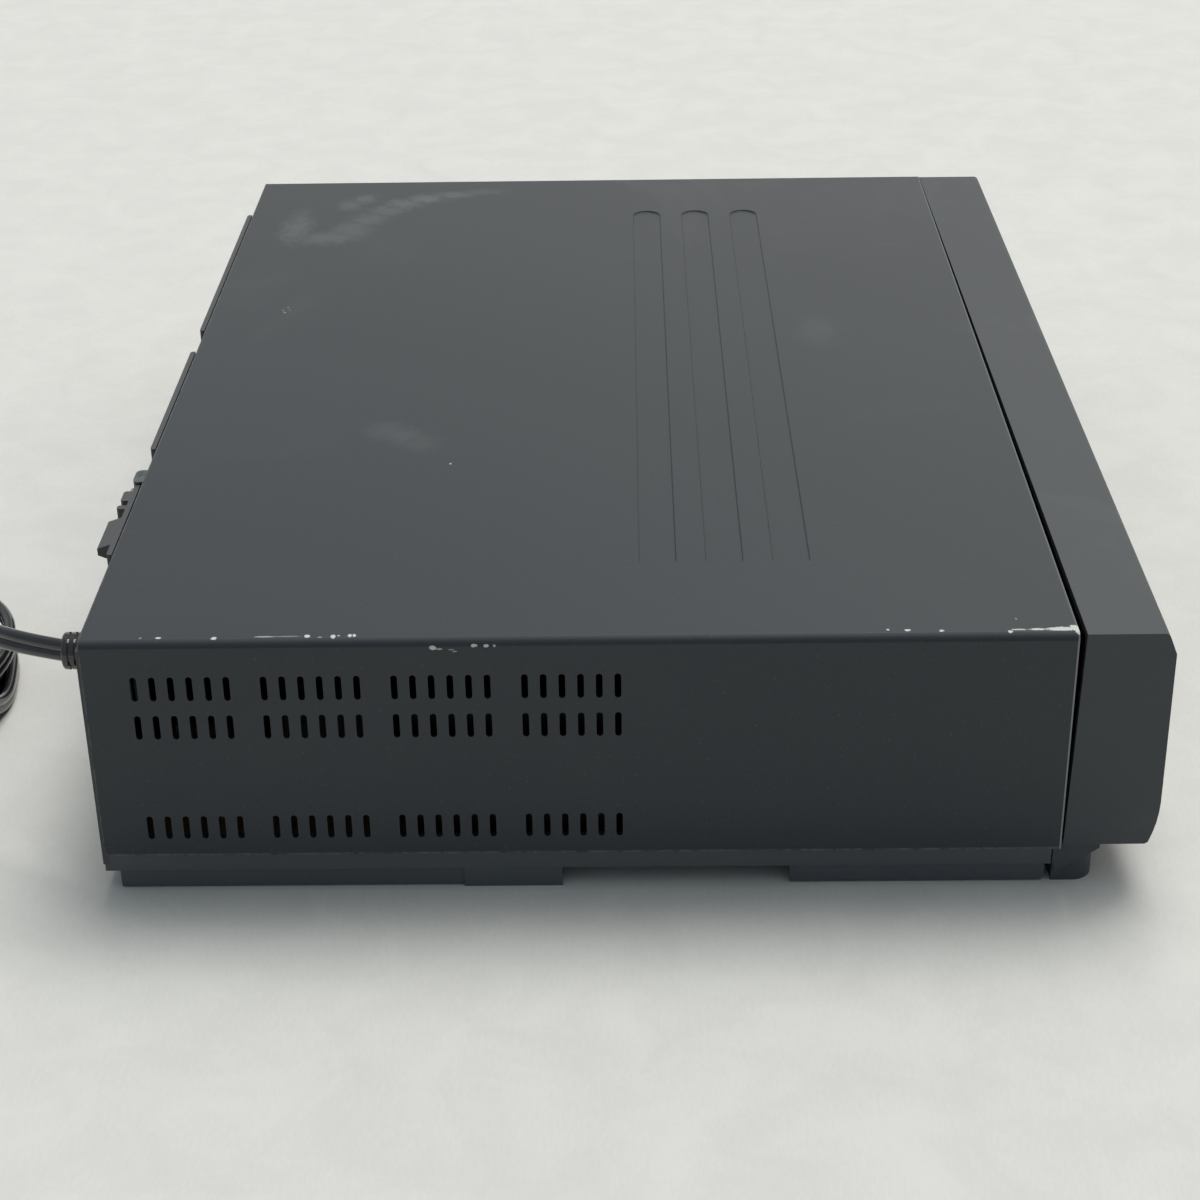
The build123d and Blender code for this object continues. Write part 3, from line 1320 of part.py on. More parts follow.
def make_cord_bushing():
    """Ribbed strain relief clipped into the notch of the rear panel."""
    outer_y = panel_face_y + bushing_reach
    neck = bushing_radius - 1.15
    bushing = post_y(bushing_x, panel_face_y, outer_y, bushing_z, bushing_radius)
    bushing = fillet(bushing.edges().group_by(Axis.Y)[-1], 0.8)
    bushing += post_y(bushing_x, panel_inner_y - 3, panel_face_y + 0.1, bushing_z, neck)
    bushing += post_y(bushing_x, panel_inner_y - 3, panel_inner_y, bushing_z, bushing_radius)
    sleeve = Cone(neck, cord_radius + 0.8, bushing_taper)
    bushing += Pos(bushing_x, panel_inner_y - 3 - bushing_taper / 2, bushing_z) * Rot(90, 0, 0) * sleeve
    for index in range(2):
        y = panel_face_y + 1.4 + 2.0 * index
        rib = post_y(bushing_x, y, y + 0.9, bushing_z, bushing_radius + 1)
        bushing -= rib - post_y(bushing_x, y, y + 0.9, bushing_z, bushing_radius - 1)
    return bushing


def make_power_cord():
    """The mains cord from its bushing down to the coil."""
    points = list(cord_route[:-3]) + [cord_end]
    print("cord bends", [round(radius, 1) for radius in bend_radii(points)])
    return cord_tube(points) - make_cord_bushing()


def tail_stations():
    """The free end of the cord: it climbs over the ring and runs level into the plug."""
    stations = []
    climb = plug_thickness / 2 + cord_radius
    for index in range(8):
        angle = math.radians(-60 + 20 * index)
        z = coil_height - cord_radius + climb * min(index, 6) / 6
        stations.append((coil_centre[0] + tail_radius * math.cos(angle),
                         coil_centre[1] + tail_radius * math.sin(angle), z))
    return stations


def make_cord_coil():
    """The rest of the cord, wound up and lying on the table, as one ring with both ends."""
    x, y = coil_centre
    ring = tube(x, y, 0, coil_height, coil_outer, coil_inner)
    ring = fillet(ring.edges(), cord_radius - 0.1)
    lead = cord_tube([cord_end] + list(cord_route[-3:]))
    return ring + lead + cord_tube(tail_stations())


def make_power_plug():
    """Flat two-pin plug lying on the coil."""
    before, (x, y, z) = tail_stations()[-2:]
    heading = math.degrees(math.atan2(y - before[1], x - before[0]))
    boot = Pos(5, 0, 0) * Rot(0, 90, 0) * Cylinder(cord_radius + 0.8, 10)
    body = Pos(10 + plug_length / 2, 0, 0) * Box(plug_length, plug_width, plug_thickness)
    body = fillet(body.edges().filter_by(Axis.Z), 5.0)
    body = fillet(body.edges().group_by(Axis.Z)[-1] + body.edges().group_by(Axis.Z)[0], 2.5)
    plug = boot + body
    for side in (-1, 1):
        plug += Pos(10 + plug_length + plug_pin_length / 2 - 0.5, side * 6.35, 0) * Box(plug_pin_length + 1, 1.5, 6.3)
    return Pos(x, y, z) * Rot(0, 0, heading) * plug


# ------------------------------------------------------------------ output
nodes = {
    "base_chassis": make_base_chassis(),
    "bottom_plate": make_bottom_plate(),
    "top_cover": make_top_cover(),
    "front_bezel": make_front_bezel(),
    "rear_panel": make_rear_panel(),
    "cover_screws": Compound(children=make_cover_screws()),
    "chassis_screws": Compound(children=make_chassis_screws()),
    "cassette_flap": make_cassette_flap(),
    "flap_spring": make_flap_spring(),
    "display_window": make_display_window(),
    "display_panel": make_display_panel(),
    "front_board": make_front_board(),
    "front_board_parts": Compound(children=make_front_board_parts()),
    "channel_rocker": make_channel_rocker(),
    "main_board": make_main_board(),
    "board_chips": Compound(children=make_board_chips()),
    "ribbon_cable": make_ribbon_cable(),
    "tuner_module": make_tuner_module(),
    "channel_switch": make_channel_switch(),
    "av_jacks": make_av_jacks(),
    "power_board": make_power_board(),
    "power_transformer": Compound(children=make_power_transformer()),
    "filter_capacitors": Compound(children=make_supply_capacitors()),
    "power_heatsink": make_power_heatsink(),
    "mains_fuse": make_mains_fuse(),
    "deck_plate": make_deck_plate(),
    "lower_drum": make_lower_drum(),
    "upper_drum": make_upper_drum(),
    "capstan_housing": make_capstan_housing(),
    "capstan": make_capstan(),
    "capstan_motor_board": make_capstan_motor_board(),
    "pinch_arm": make_pinch_arm(),
    "pinch_roller": make_pinch_roller(),
    "supply_reel": make_reel(-reel_x),
    "takeup_reel": make_reel(reel_x),
    "clutch_pulley": make_clutch_pulley(),
    "idler_arm": make_idler_arm(),
    "idler_wheel": make_idler_wheel(),
    "reel_belt": make_reel_belt(),
    "cam_gear": make_cam_gear(),
    "loading_gear": make_loading_gear(),
    "loading_motor": make_loading_motor(),
    "supply_guide": make_guide(-1),
    "takeup_guide": make_guide(1),
    "tape_heads": Compound(children=make_tape_heads()),
    "tension_arm": make_tension_arm(),
    "carriage_frame": make_carriage_frame(),
    "carriage_slider": make_carriage_slider(),
    "cassette_carriage": make_cassette_carriage(),
    "cord_bushing": make_cord_bushing(),
    "power_cord": make_power_cord(),
    "cord_coil": make_cord_coil(),
    "power_plug": make_power_plug(),
}
for name, x, z, width, height in button_layout:
    nodes[name] = make_button(x, z, width, height)

os.makedirs("parts", exist_ok=True)
for name, shape in nodes.items():
    export_step(shape, os.path.join("parts", name + ".step"))
    size = shape.bounding_box().size
    print(name, "solids", len(shape.solids()), "size", round(size.X, 1), round(size.Y, 1), round(size.Z, 1))
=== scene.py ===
"""Finishes, small trim, mains cord, light and camera for the video cassette recorder.

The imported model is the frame: every node keeps its place and shape, gets a procedural finish, and the
pieces made here ride on its bodies. Lengths are in metres.
"""
from __future__ import annotations

import json
import logging
import math
from dataclasses import dataclass
from enum import Enum
from typing import Callable, Sequence

import bmesh
import bpy
from mathutils import Matrix, Vector

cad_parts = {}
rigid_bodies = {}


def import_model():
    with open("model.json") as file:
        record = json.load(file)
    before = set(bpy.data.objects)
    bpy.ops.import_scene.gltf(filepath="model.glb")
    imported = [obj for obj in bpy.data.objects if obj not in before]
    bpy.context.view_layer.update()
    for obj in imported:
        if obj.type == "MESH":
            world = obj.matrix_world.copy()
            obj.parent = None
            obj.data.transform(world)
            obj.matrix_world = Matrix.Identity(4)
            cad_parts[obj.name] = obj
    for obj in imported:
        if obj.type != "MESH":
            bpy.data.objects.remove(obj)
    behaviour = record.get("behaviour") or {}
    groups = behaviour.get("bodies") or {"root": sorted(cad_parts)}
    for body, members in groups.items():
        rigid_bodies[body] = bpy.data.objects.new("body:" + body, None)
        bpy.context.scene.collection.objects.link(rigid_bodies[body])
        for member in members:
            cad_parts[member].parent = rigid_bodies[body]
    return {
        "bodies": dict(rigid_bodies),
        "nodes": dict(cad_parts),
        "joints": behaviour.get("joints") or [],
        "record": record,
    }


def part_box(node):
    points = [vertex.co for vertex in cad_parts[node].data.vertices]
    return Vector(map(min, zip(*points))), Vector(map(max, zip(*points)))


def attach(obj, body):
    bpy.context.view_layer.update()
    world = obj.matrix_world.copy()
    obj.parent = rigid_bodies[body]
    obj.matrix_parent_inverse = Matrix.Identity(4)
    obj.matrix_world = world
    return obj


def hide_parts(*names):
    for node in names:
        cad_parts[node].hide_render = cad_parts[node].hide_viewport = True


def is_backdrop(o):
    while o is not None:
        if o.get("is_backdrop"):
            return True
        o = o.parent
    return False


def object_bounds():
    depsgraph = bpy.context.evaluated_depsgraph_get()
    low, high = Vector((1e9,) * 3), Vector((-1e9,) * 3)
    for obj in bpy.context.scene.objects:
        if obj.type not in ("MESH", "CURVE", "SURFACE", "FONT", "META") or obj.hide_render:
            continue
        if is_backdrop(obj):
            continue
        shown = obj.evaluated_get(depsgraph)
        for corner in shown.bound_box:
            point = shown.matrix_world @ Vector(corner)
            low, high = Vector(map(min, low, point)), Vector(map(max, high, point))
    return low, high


log = logging.getLogger("recorder")
Point = tuple[float, float, float]
Colour = tuple[float, float, float]
Flat = tuple[float, float]
Node = bpy.types.Node
Socket = bpy.types.NodeSocket
Material = bpy.types.Material

FLOAT = "NodeSocketFloat"
VECTOR = "NodeSocketVector"
WHERE = ("Where", VECTOR, None)

UP = Vector((0.0, 0.0, 1.0))

# the cover's planes and the front's face
HALF_WIDTH = 0.215
TOP_Z = 0.090
COVER_LOW_Z = 0.014
SEAM_Y = -0.1384
REAR_Y = 0.1586
FACE_Y = -0.168

# a height just under the left fold, and how deep chips and smears reach
FOLD_Z = 0.0876
DEEP = 0.0009
SHALLOW = 0.0030


class Body(str, Enum):
    """The body of the frame that the new pieces ride on."""

    CHASSIS = "chassis"


def add_object(name: str, data: bpy.types.ID) -> bpy.types.Object:
    """Makes an object and links it into the scene."""
    made = bpy.data.objects.new(name, data)
    bpy.context.scene.collection.objects.link(made)
    return made


def ease(part: float) -> float:
    """A share of the way, held between 0 and 1, that starts and ends gently."""
    part = min(1.0, max(0.0, part))
    return part * part * (3 - 2 * part)


def squarish(angle: float, power: float) -> Flat:
    """Cosine and sine of an angle, each to a power: 1 for a circle, less for a rounded square."""
    across, up = math.cos(angle), math.sin(angle)
    return math.copysign(abs(across) ** power, across), math.copysign(abs(up) ** power, up)


# ---------- node groups
class Graph:
    """A small builder for shader node trees."""

    def __init__(self, tree: bpy.types.NodeTree) -> None:
        """Keeps the tree that the nodes go into."""
        self.tree = tree

    def node(self, kind: str, **values: object) -> Node:
        """Adds a node.

        Args:
            kind: the node's type name.
            values: attributes of the node.

        Returns:
            The new node.
        """
        made = self.tree.nodes.new(kind)
        for name, value in values.items():
            setattr(made, name, value)
        return made

    def link(self, source: object, target: object) -> None:
        """Joins an output socket to an input socket."""
        self.tree.links.new(source, target)

    def feed(self, target: Socket, value: object) -> None:
        """Sets an input from a socket or a plain value."""
        if isinstance(value, Socket):
            self.link(value, target)
        elif isinstance(value, tuple) and len(value) == 3 and target.type == "RGBA":
            target.default_value = (*value, 1.0)
        else:
            target.default_value = value

    def fill(self, made: Node, **values: object) -> Node:
        """Sets a node's inputs by name, with _ for a space, and returns the node."""
        for name, value in values.items():
            self.feed(made.inputs[name.replace("_", " ")], value)
        return made

    def band(self, value: Socket, plane: float, offsets: Flat, *ends: float) -> Socket:
        """Maps a coordinate across a narrow band beside a plane, as ramp does."""
        return self.ramp(value, plane + offsets[0], plane + offsets[1], *ends)

    def math(self, operation: str, *values: object) -> Socket:
        """A Math node's result.

        Args:
            operation: the operation's name.
            values: sockets or numbers.

        Returns:
            The result's socket.
        """
        made = self.node("ShaderNodeMath", operation=operation)
        for index, value in enumerate(values):
            self.feed(made.inputs[index], value)
        return made.outputs[0]

    def times(self, first: object, second: object) -> Socket:
        """The product of two values."""
        return self.math("MULTIPLY", first, second)

    def ramp(self, value: object, low: float, high: float, out_low: float = 0.0, out_high: float = 1.0,
             smooth: bool = True) -> Socket:
        """Maps a value from one span to another, clamped.

        Args:
            value: the socket to map.
            low: start of the input span.
            high: end of the input span.
            out_low: result at low.
            out_high: result at high.
            smooth: ease in and out.

        Returns:
            The mapped socket.
        """
        made = self.node("ShaderNodeMapRange", interpolation_type="SMOOTHSTEP" if smooth else "LINEAR")
        return self.fill(made, Value=value, From_Min=low, From_Max=high, To_Min=out_low,
                         To_Max=out_high).outputs[0]

    def noise(self, where: object, scale: float, detail: float = 3.0, rough: float = 0.55,
              distortion: float = 0.0) -> Socket:
        """A noise value around 0.5.

        Args:
            where: the coordinates.
            scale: features per metre.
            detail: octaves.
            rough: weight of the finer octaves.
            distortion: how far the pattern is bent.

        Returns:
            The factor's socket.
        """
        made = self.node("ShaderNodeTexNoise", noise_dimensions="3D")
        return self.fill(made, Vector=where, Scale=scale, Detail=detail, Roughness=rough,
                         Distortion=distortion).outputs["Fac"]

    def mix(self, factor: object, first: object, second: object) -> Socket:
        """A colour mix's result.

        Args:
            factor: 0 for the first colour, 1 for the second.
            first: a colour or socket.
            second: a colour or socket.

        Returns:
            The mixed colour.
        """
        made = self.node("ShaderNodeMix", data_type="RGBA")
        self.feed(made.inputs[0], factor)
        self.feed(made.inputs[6], first)
        self.feed(made.inputs[7], second)
        return made.outputs[2]

    def vector(self, operation: str, *values: object, output: int = 0) -> Socket:
        """A Vector Math node's result.

        Args:
            operation: the operation's name.
            values: sockets or vectors.
            output: 0 for the vector, 1 for the value.

        Returns:
            The result's socket.
        """
        made = self.node("ShaderNodeVectorMath", operation=operation)
        for index, value in enumerate(values):
            self.feed(made.inputs[index], value)
        return made.outputs[output]


class Group:
    """A shader node group with named inputs and outputs, built once."""

    def __init__(self, name: str, inputs: Sequence[tuple[str, str, object]],
                 outputs: Sequence[tuple[str, str]],
                 build: Callable[[Graph, Node, Node], None]) -> None:
        """Builds the group.

        Args:
            name: the group's name.
            inputs: name, socket type and default of each input.
            outputs: name and socket type of each output.
            build: fills the group between its input and output nodes.
        """
        self.tree = bpy.data.node_groups.new(name, "ShaderNodeTree")
        for label, kind, default in inputs:
            socket = self.tree.interface.new_socket(label, in_out="INPUT", socket_type=kind)
            if default is not None:
                socket.default_value = default
        for label, kind in outputs:
            self.tree.interface.new_socket(label, in_out="OUTPUT", socket_type=kind)
        graph = Graph(self.tree)
        build(graph, graph.node("NodeGroupInput"), graph.node("NodeGroupOutput"))

    def place(self, finish: Finish, **values: object) -> Node:
        """Puts the group into a material.

        Args:
            finish: the material under construction.
            values: inputs besides the coordinates, by name, with _ for a space.

        Returns:
            The group's node.
        """
        made = finish.graph.node("ShaderNodeGroup", node_tree=self.tree)
        return finish.graph.fill(made, Where=finish.where, **values)


def build_grain(graph: Graph, entry: Node, result: Node) -> None:
    """Fine stippled texture of enamel or moulded plastic, as a height and a speckle."""
    where, scale = entry.outputs["Where"], entry.outputs["Scale"]
    fine = graph.noise(where, scale, 2.0, 0.6)
    wider = graph.times(scale, 0.31)
    coarse = graph.noise(where, wider, 2.0, 0.5)
    height = graph.math("ADD", graph.times(fine, 0.65), graph.times(coarse, 0.35))
    graph.fill(result, Height=height)
    graph.fill(result, Speckle=graph.ramp(fine, 0.25, 0.75))


def build_soil(graph: Graph, entry: Node, result: Node) -> None:
    """Handling marks: broad cloudy smears and fine dust, each as a mask."""
    where, scale = entry.outputs["Where"], entry.outputs["Scale"]
    cloud = graph.noise(where, scale, 5.0, 0.6, 1.2)
    graph.fill(result, Smear=graph.ramp(cloud, 0.50, 0.78))
    finer = graph.times(scale, 160.0)
    dust = graph.noise(where, finer, 1.0, 0.5)
    graph.fill(result, Dust=graph.ramp(dust, 0.70, 0.78))


def build_spot(graph: Graph, entry: Node, result: Node) -> None:
    """A ragged patch round a point, as a mask that may be joined to another one."""
    away = graph.vector("SUBTRACT", entry.outputs["Where"], entry.outputs["Centre"])
    sized = graph.vector("DIVIDE", away, entry.outputs["Size"])
    distance = graph.vector("LENGTH", sized, output=1)
    wobble = graph.times(graph.math("SUBTRACT", entry.outputs["Noise"], 0.5), 1.5)
    mask = graph.ramp(graph.math("ADD", distance, wobble), entry.outputs["Inner"], 1.0, 1.0, 0.0)
    bare = graph.times(mask, entry.outputs["Bare"])
    graph.fill(result, Mask=graph.math("MAXIMUM", bare, entry.outputs["Join"]))


def build_brush(graph: Graph, entry: Node, result: Node) -> None:
    """Fine parallel lines of rolled or turned metal."""
    stretched = graph.vector("MULTIPLY", entry.outputs["Where"], entry.outputs["Stretch"])
    lines = graph.noise(stretched, 1.0, 2.0, 0.6)
    graph.fill(result, Lines=lines)


class Groups:
    """All shared node groups."""

    def __init__(self) -> None:
        """Builds each group once."""
        self.grain = Group("fine_grain", [WHERE, ("Scale", FLOAT, 1500.0)],
                           [("Height", FLOAT), ("Speckle", FLOAT)], build_grain)
        self.soil = Group("handling_marks", [WHERE, ("Scale", FLOAT, 9.0)],
                          [("Smear", FLOAT), ("Dust", FLOAT)], build_soil)
        self.spot = Group("ragged_spot", [WHERE, ("Centre", VECTOR, None),
                                          ("Size", VECTOR, (0.01, 0.01, 0.01)), ("Noise", FLOAT, 0.5),
                                          ("Inner", FLOAT, 0.72), ("Bare", FLOAT, 1.0), ("Join", FLOAT, 0.0)],
                          [("Mask", FLOAT)], build_spot)
        self.brush = Group("drawn_lines",
                           [WHERE, ("Stretch", VECTOR, (900.0, 900.0, 12.0))],
                           [("Lines", FLOAT)], build_brush)


# ---------- finishes
class Finish:
    """A material under construction, with its shader at hand."""

    def __init__(self, name: str) -> None:
        """Starts an empty material with one shader.

        Args:
            name: the material's name.
        """
        self.material = bpy.data.materials.new(name)
        self.material.use_nodes = True
        self.material.node_tree.nodes.clear()
        self.graph = Graph(self.material.node_tree)
        self.shader = self.graph.node("ShaderNodeBsdfPrincipled")
        output = self.graph.node("ShaderNodeOutputMaterial")
        self.graph.link(self.shader.outputs[0], output.inputs[0])
        self.where = self.graph.node("ShaderNodeTexCoord").outputs["Object"]

    def set(self, **values: object) -> None:
        """Sets shader inputs by name, with _ for a space."""
        self.graph.fill(self.shader, **values)

    def bump(self, height: Socket, distance: float, strength: float) -> None:
        """Feeds a height into the shader's normal.

        Args:
            height: the height's socket, 0 to 1.
            distance: depth in metres.
            strength: how much of it shows.
        """
        made = self.graph.node("ShaderNodeBump")
        self.graph.fill(made, Distance=distance, Strength=strength, Height=height)
        self.graph.fill(self.shader, Normal=made.outputs[0])


@dataclass(frozen=True)
class Chip:
    """A chip or smear on the painted cover: its centre and half sizes, and how much it shows."""

    centre: Point
    size: Point
    bare: float = 1.0


def top_chip(x_mm: float, y_mm: float, half_x_mm: float, half_y_mm: float, bare: float = 1.0,
             depth: float = DEEP) -> Chip:
    """A chip or smear on the top, from millimetres."""
    return Chip((x_mm / 1000, y_mm / 1000, TOP_Z), (half_x_mm / 1000, half_y_mm / 1000, depth), bare)


def side_chip(y_mm: float, z_mm: float, half_y_mm: float, half_z_mm: float, bare: float = 1.0) -> Chip:
    """A chip on the left side, just under the fold, from millimetres."""
    return Chip((-HALF_WIDTH, y_mm / 1000, z_mm / 1000), (DEEP, half_y_mm / 1000, half_z_mm / 1000), bare)


class Recipe:
    """What every finish has: a name and a way to paint itself."""

    name: str

    def paint(self, finish: Finish, graph: Graph, groups: Groups) -> None:
        """Fills the finish."""
        raise NotImplementedError

    def make(self, groups: Groups) -> Material:
        """Builds the material.

        Args:
            groups: the shared node groups.

        Returns:
            The material.
        """
        finish = Finish(self.name)
        self.paint(finish, finish.graph, groups)
        return finish.material


@dataclass(frozen=True)
class Enamel(Recipe):
    """Textured dark enamel on folded steel, chipped along its folds and wiped in places."""

    name: str = "cover_enamel"
    colour: Colour = (0.0145, 0.0205, 0.0265)
    faded: Colour = (0.024, 0.030, 0.036)
    bare: Colour = (0.50, 0.53, 0.48)
    raw_edge: Colour = (0.22, 0.24, 0.235)
    haze: Colour = (0.19, 0.205, 0.21)
    dust: Colour = (0.30, 0.30, 0.28)
    grain_scale: float = 1900.0
    ragged_scale: float = 1300.0
    worn_scale: float = 260.0
    cloudy_scale: float = 150.0
    rough: Flat = (0.39, 0.34)
    fold_rough: float = 0.72
    lip_band: Flat = (0.0003, 0.0006)
    top_band: Flat = (-0.0020, -0.0004)
    rear_band: Flat = (-0.0005, -0.0002)
    hem_band: Flat = (0.0004, 0.0010)
    fold_across: Flat = (-0.0026, -0.0018)
    fold_down: Flat = (-0.0028, -0.0020)
    chips: tuple[Chip, ...] = tuple(top_chip(*row) for row in (
        (-212.3, 140.1, 0.5, 0.45, 0.4), (-212.2, 134.8, 0.65, 0.95), (-212.7, 118.1, 0.9, 0.95),
        (-212.0, 103.0, 0.42, 3.6, 0.6), (-211.9, 96.2, 0.32, 4.4, 0.35), (-211.9, 90.4, 1.0, 0.95),
        (-212.6, 86.6, 0.5, 0.8, 0.35), (-212.2, 82.6, 1.3, 0.85), (-211.7, 81.1, 0.5, 0.45, 0.6),
        (-211.8, 77.7, 1.0, 0.75), (-211.7, 76.4, 1.0, 0.6), (-211.1, -82.0, 0.65, 0.55, 0.8),
        (-211.5, -87.8, 0.75, 1.1), (-212.0, -97.8, 0.7, 0.8), (-212.9, -118.0, 0.9, 0.75),
        (-211.7, -120.7, 0.5, 2.6, 0.8), (-211.6, -126.2, 0.7, 2.6), (-211.5, -133.5, 1.35, 5.2),
        (-211.0, -137.2, 2.0, 1.7), (-213.2, -138.3, 1.6, 1.1), (-205.1, -120.8, 0.7, 0.4, 0.3),
        (54.6, 130.9, 1.2, 0.4, 0.20), (52.2, 129.9, 0.8, 0.6, 0.35), (57.5, 129.2, 1.3, 0.4, 0.20),
        (54.9, 128.2, 1.0, 0.35, 0.18), (-91.3, 55.3, 0.7, 0.5, 0.6),
    )) + tuple(side_chip(*row) for row in (
        (53.0, 87.4, 1.2, 0.85), (51.2, 86.95, 1.2, 0.32, 0.7), (47.6, 86.7, 0.9, 0.26, 0.5),
        (46.5, 86.1, 0.8, 0.30, 0.5), (40.8, FOLD_Z * 1000 + 0.4, 1.0, 0.6),
        (37.1, FOLD_Z * 1000 + 0.3, 0.95, 0.55), (34.7, FOLD_Z * 1000 + 0.3, 0.5, 0.5, 0.7),
    ))
    smears: tuple[Chip, ...] = tuple(top_chip(*row, SHALLOW) for row in (
        (152.0, 137.0, 30.0, 10.0, 0.22), (139.0, 123.0, 12.0, 19.0, 0.22),
        (150.0, 113.0, 17.0, 13.0, 0.19), (163.0, 107.0, 14.0, 12.0, 0.19),
        (174.0, 100.0, 11.0, 12.0, 0.20), (183.0, 92.0, 9.5, 13.0, 0.26), (189.5, 83.0, 8.0, 14.0, 0.30),
        (194.5, 72.0, 6.5, 16.0, 0.22), (198.0, 59.0, 5.0, 18.0, 0.12), (182.0, 117.0, 10.0, 8.0, 0.20),
        (190.0, 111.0, 10.0, 8.0, 0.22), (-63.0, 80.0, 12.0, 11.0, 0.10), (-68.0, 73.0, 12.0, 11.0, 0.12),
        (-75.0, 66.0, 11.0, 10.0, 0.08), (28.0, -79.0, 22.0, 13.0, 0.08),
    ))

    def spread(self, finish: Finish, groups: Groups, patches: Sequence[Chip], noise: Socket,
               **more: float) -> Socket:
        """One mask of many patches with ragged edges; more goes to each spot as it is."""
        mask: object = 0.0
        for patch in patches:
            spot = groups.spot.place(finish, Centre=patch.centre, Size=patch.size, Noise=noise,
                                     Bare=patch.bare, Join=mask, **more)
            mask = spot.outputs["Mask"]
        return mask

    def paint(self, finish: Finish, graph: Graph, groups: Groups) -> None:
        """Paints the enamel, its wear, its smears and its chips."""
        grain = groups.grain.place(finish, Scale=self.grain_scale)
        soil = groups.soil.place(finish, Scale=7.0)
        speckled = graph.mix(graph.times(grain.outputs["Speckle"], 0.30), self.colour, self.faded)
        smeared = graph.mix(graph.times(soil.outputs["Smear"], 0.35), speckled, self.faded)
        dusty = graph.mix(graph.times(soil.outputs["Dust"], 0.10), smeared, self.dust)
        places = graph.node("ShaderNodeSeparateXYZ")
        graph.link(finish.where, places.inputs[0])
        x, y, z = (places.outputs[axis] for axis in "XYZ")
        ragged = graph.noise(finish.where, self.ragged_scale, 3.0, 0.7)
        lip = graph.band(y, SEAM_Y, self.lip_band, 1.0, 0.0)
        on_side = graph.band(z, TOP_Z, self.top_band, 1.0, 0.35)
        rear = graph.band(y, REAR_Y, self.rear_band)
        hem = graph.band(z, COVER_LOW_Z, self.hem_band, 1.0, 0.0)
        worn = graph.ramp(graph.noise(finish.where, self.worn_scale, 3.0, 0.7), 0.30, 0.62)
        frayed = graph.times(graph.math("MAXIMUM", hem, rear), graph.times(worn, 0.30))
        cloudy = graph.noise(finish.where, self.cloudy_scale, 5.0, 0.65, 1.4)
        wiped = self.spread(finish, groups, self.smears, cloudy, Inner=0.1)
        hazy = graph.mix(wiped, dusty, self.haze)
        edges = graph.math("MAXIMUM", graph.times(lip, on_side), frayed)
        rubbed = graph.mix(edges, hazy, self.raw_edge)
        chipped = graph.mix(self.spread(finish, groups, self.chips, ragged), rubbed, self.bare)
        beside = graph.band(graph.math("ABSOLUTE", x), HALF_WIDTH, self.fold_across)
        above = graph.band(z, TOP_Z, self.fold_down)
        fold = graph.times(beside, above)
        rough = graph.ramp(soil.outputs["Smear"], 0.0, 1.0, *self.rough)
        rougher = graph.math("MAXIMUM", rough, graph.times(fold, self.fold_rough))
        finish.set(Base_Color=chipped, Roughness=rougher, Specular_IOR_Level=0.45)
        finish.bump(grain.outputs["Height"], 0.00010, 0.55)


@dataclass(frozen=True)
class Moulded(Recipe):
    """Moulded plastic: spark texture, slight unevenness and polished spots."""

    name: str
    colour: Colour
    rough: float = 0.5
    grain_scale: float = 1600.0
    depth: float = 0.00006
    fade: float = 1.25
    gloss: float = 0.5

    def paint(self, finish: Finish, graph: Graph, groups: Groups) -> None:
        """Paints the plastic."""
        grain = groups.grain.place(finish, Scale=self.grain_scale)
        soil = groups.soil.place(finish, Scale=12.0)
        pale = tuple(min(1.0, part * self.fade) for part in self.colour)
        speckled = graph.mix(graph.times(grain.outputs["Speckle"], 0.30), self.colour, pale)
        tinted = graph.mix(graph.times(soil.outputs["Smear"], 0.40), speckled, pale)
        rough = graph.ramp(soil.outputs["Smear"], 0.0, 1.0, self.rough, self.rough * 0.86)
        finish.set(Base_Color=tinted, Roughness=rough, Specular_IOR_Level=self.gloss)
        finish.bump(grain.outputs["Height"], self.depth, 0.6)


@dataclass(frozen=True)
class Metal(Recipe):
    """Drawn, turned or plated metal with fine lines and slight tarnish."""

    name: str
    colour: Colour
    rough: float = 0.32
    stretch: Point = (9.0, 2800.0, 2800.0)
    tarnish: float = 0.72

    def paint(self, finish: Finish, graph: Graph, groups: Groups) -> None:
        """Paints the metal."""
        brush = groups.brush.place(finish, Stretch=self.stretch)
        soil = groups.soil.place(finish, Scale=30.0)
        dull = tuple(part * self.tarnish for part in self.colour)
        shade = graph.mix(graph.times(soil.outputs["Smear"], 0.6), self.colour, dull)
        rough = graph.ramp(brush.outputs["Lines"], 0.3, 0.7, self.rough * 0.93, self.rough * 1.10)
        finish.set(Base_Color=shade, Roughness=rough, Metallic=1.0)
        finish.bump(brush.outputs["Lines"], 0.00001, 0.30)


@dataclass(frozen=True)
class Board(Recipe):
    """Resin circuit board with faint weave and copper tracks under its lacquer."""

    name: str = "board_resin"
    colour: Colour = (0.30, 0.17, 0.07)
    track: Colour = (0.245, 0.138, 0.055)

    def paint(self, finish: Finish, graph: Graph, groups: Groups) -> None:
        """Paints the board."""
        etched = graph.node("ShaderNodeTexBrick", offset=0.37, squash=1.6, squash_frequency=3)
        graph.fill(etched, Vector=finish.where, Scale=1.0, Brick_Width=0.0190, Row_Height=0.0024,
                   Mortar_Size=0.00028, Mortar_Smooth=0.2)
        tracks = etched.outputs["Fac"]
        grain = groups.grain.place(finish, Scale=900.0)
        speckled = graph.mix(graph.times(grain.outputs["Speckle"], 0.2), self.colour, self.track)
        finish.set(Base_Color=graph.mix(tracks, speckled, self.track),
                   Roughness=graph.ramp(tracks, 0.0, 1.0, 0.4, 0.3))
        finish.bump(tracks, 0.00005, 0.6)


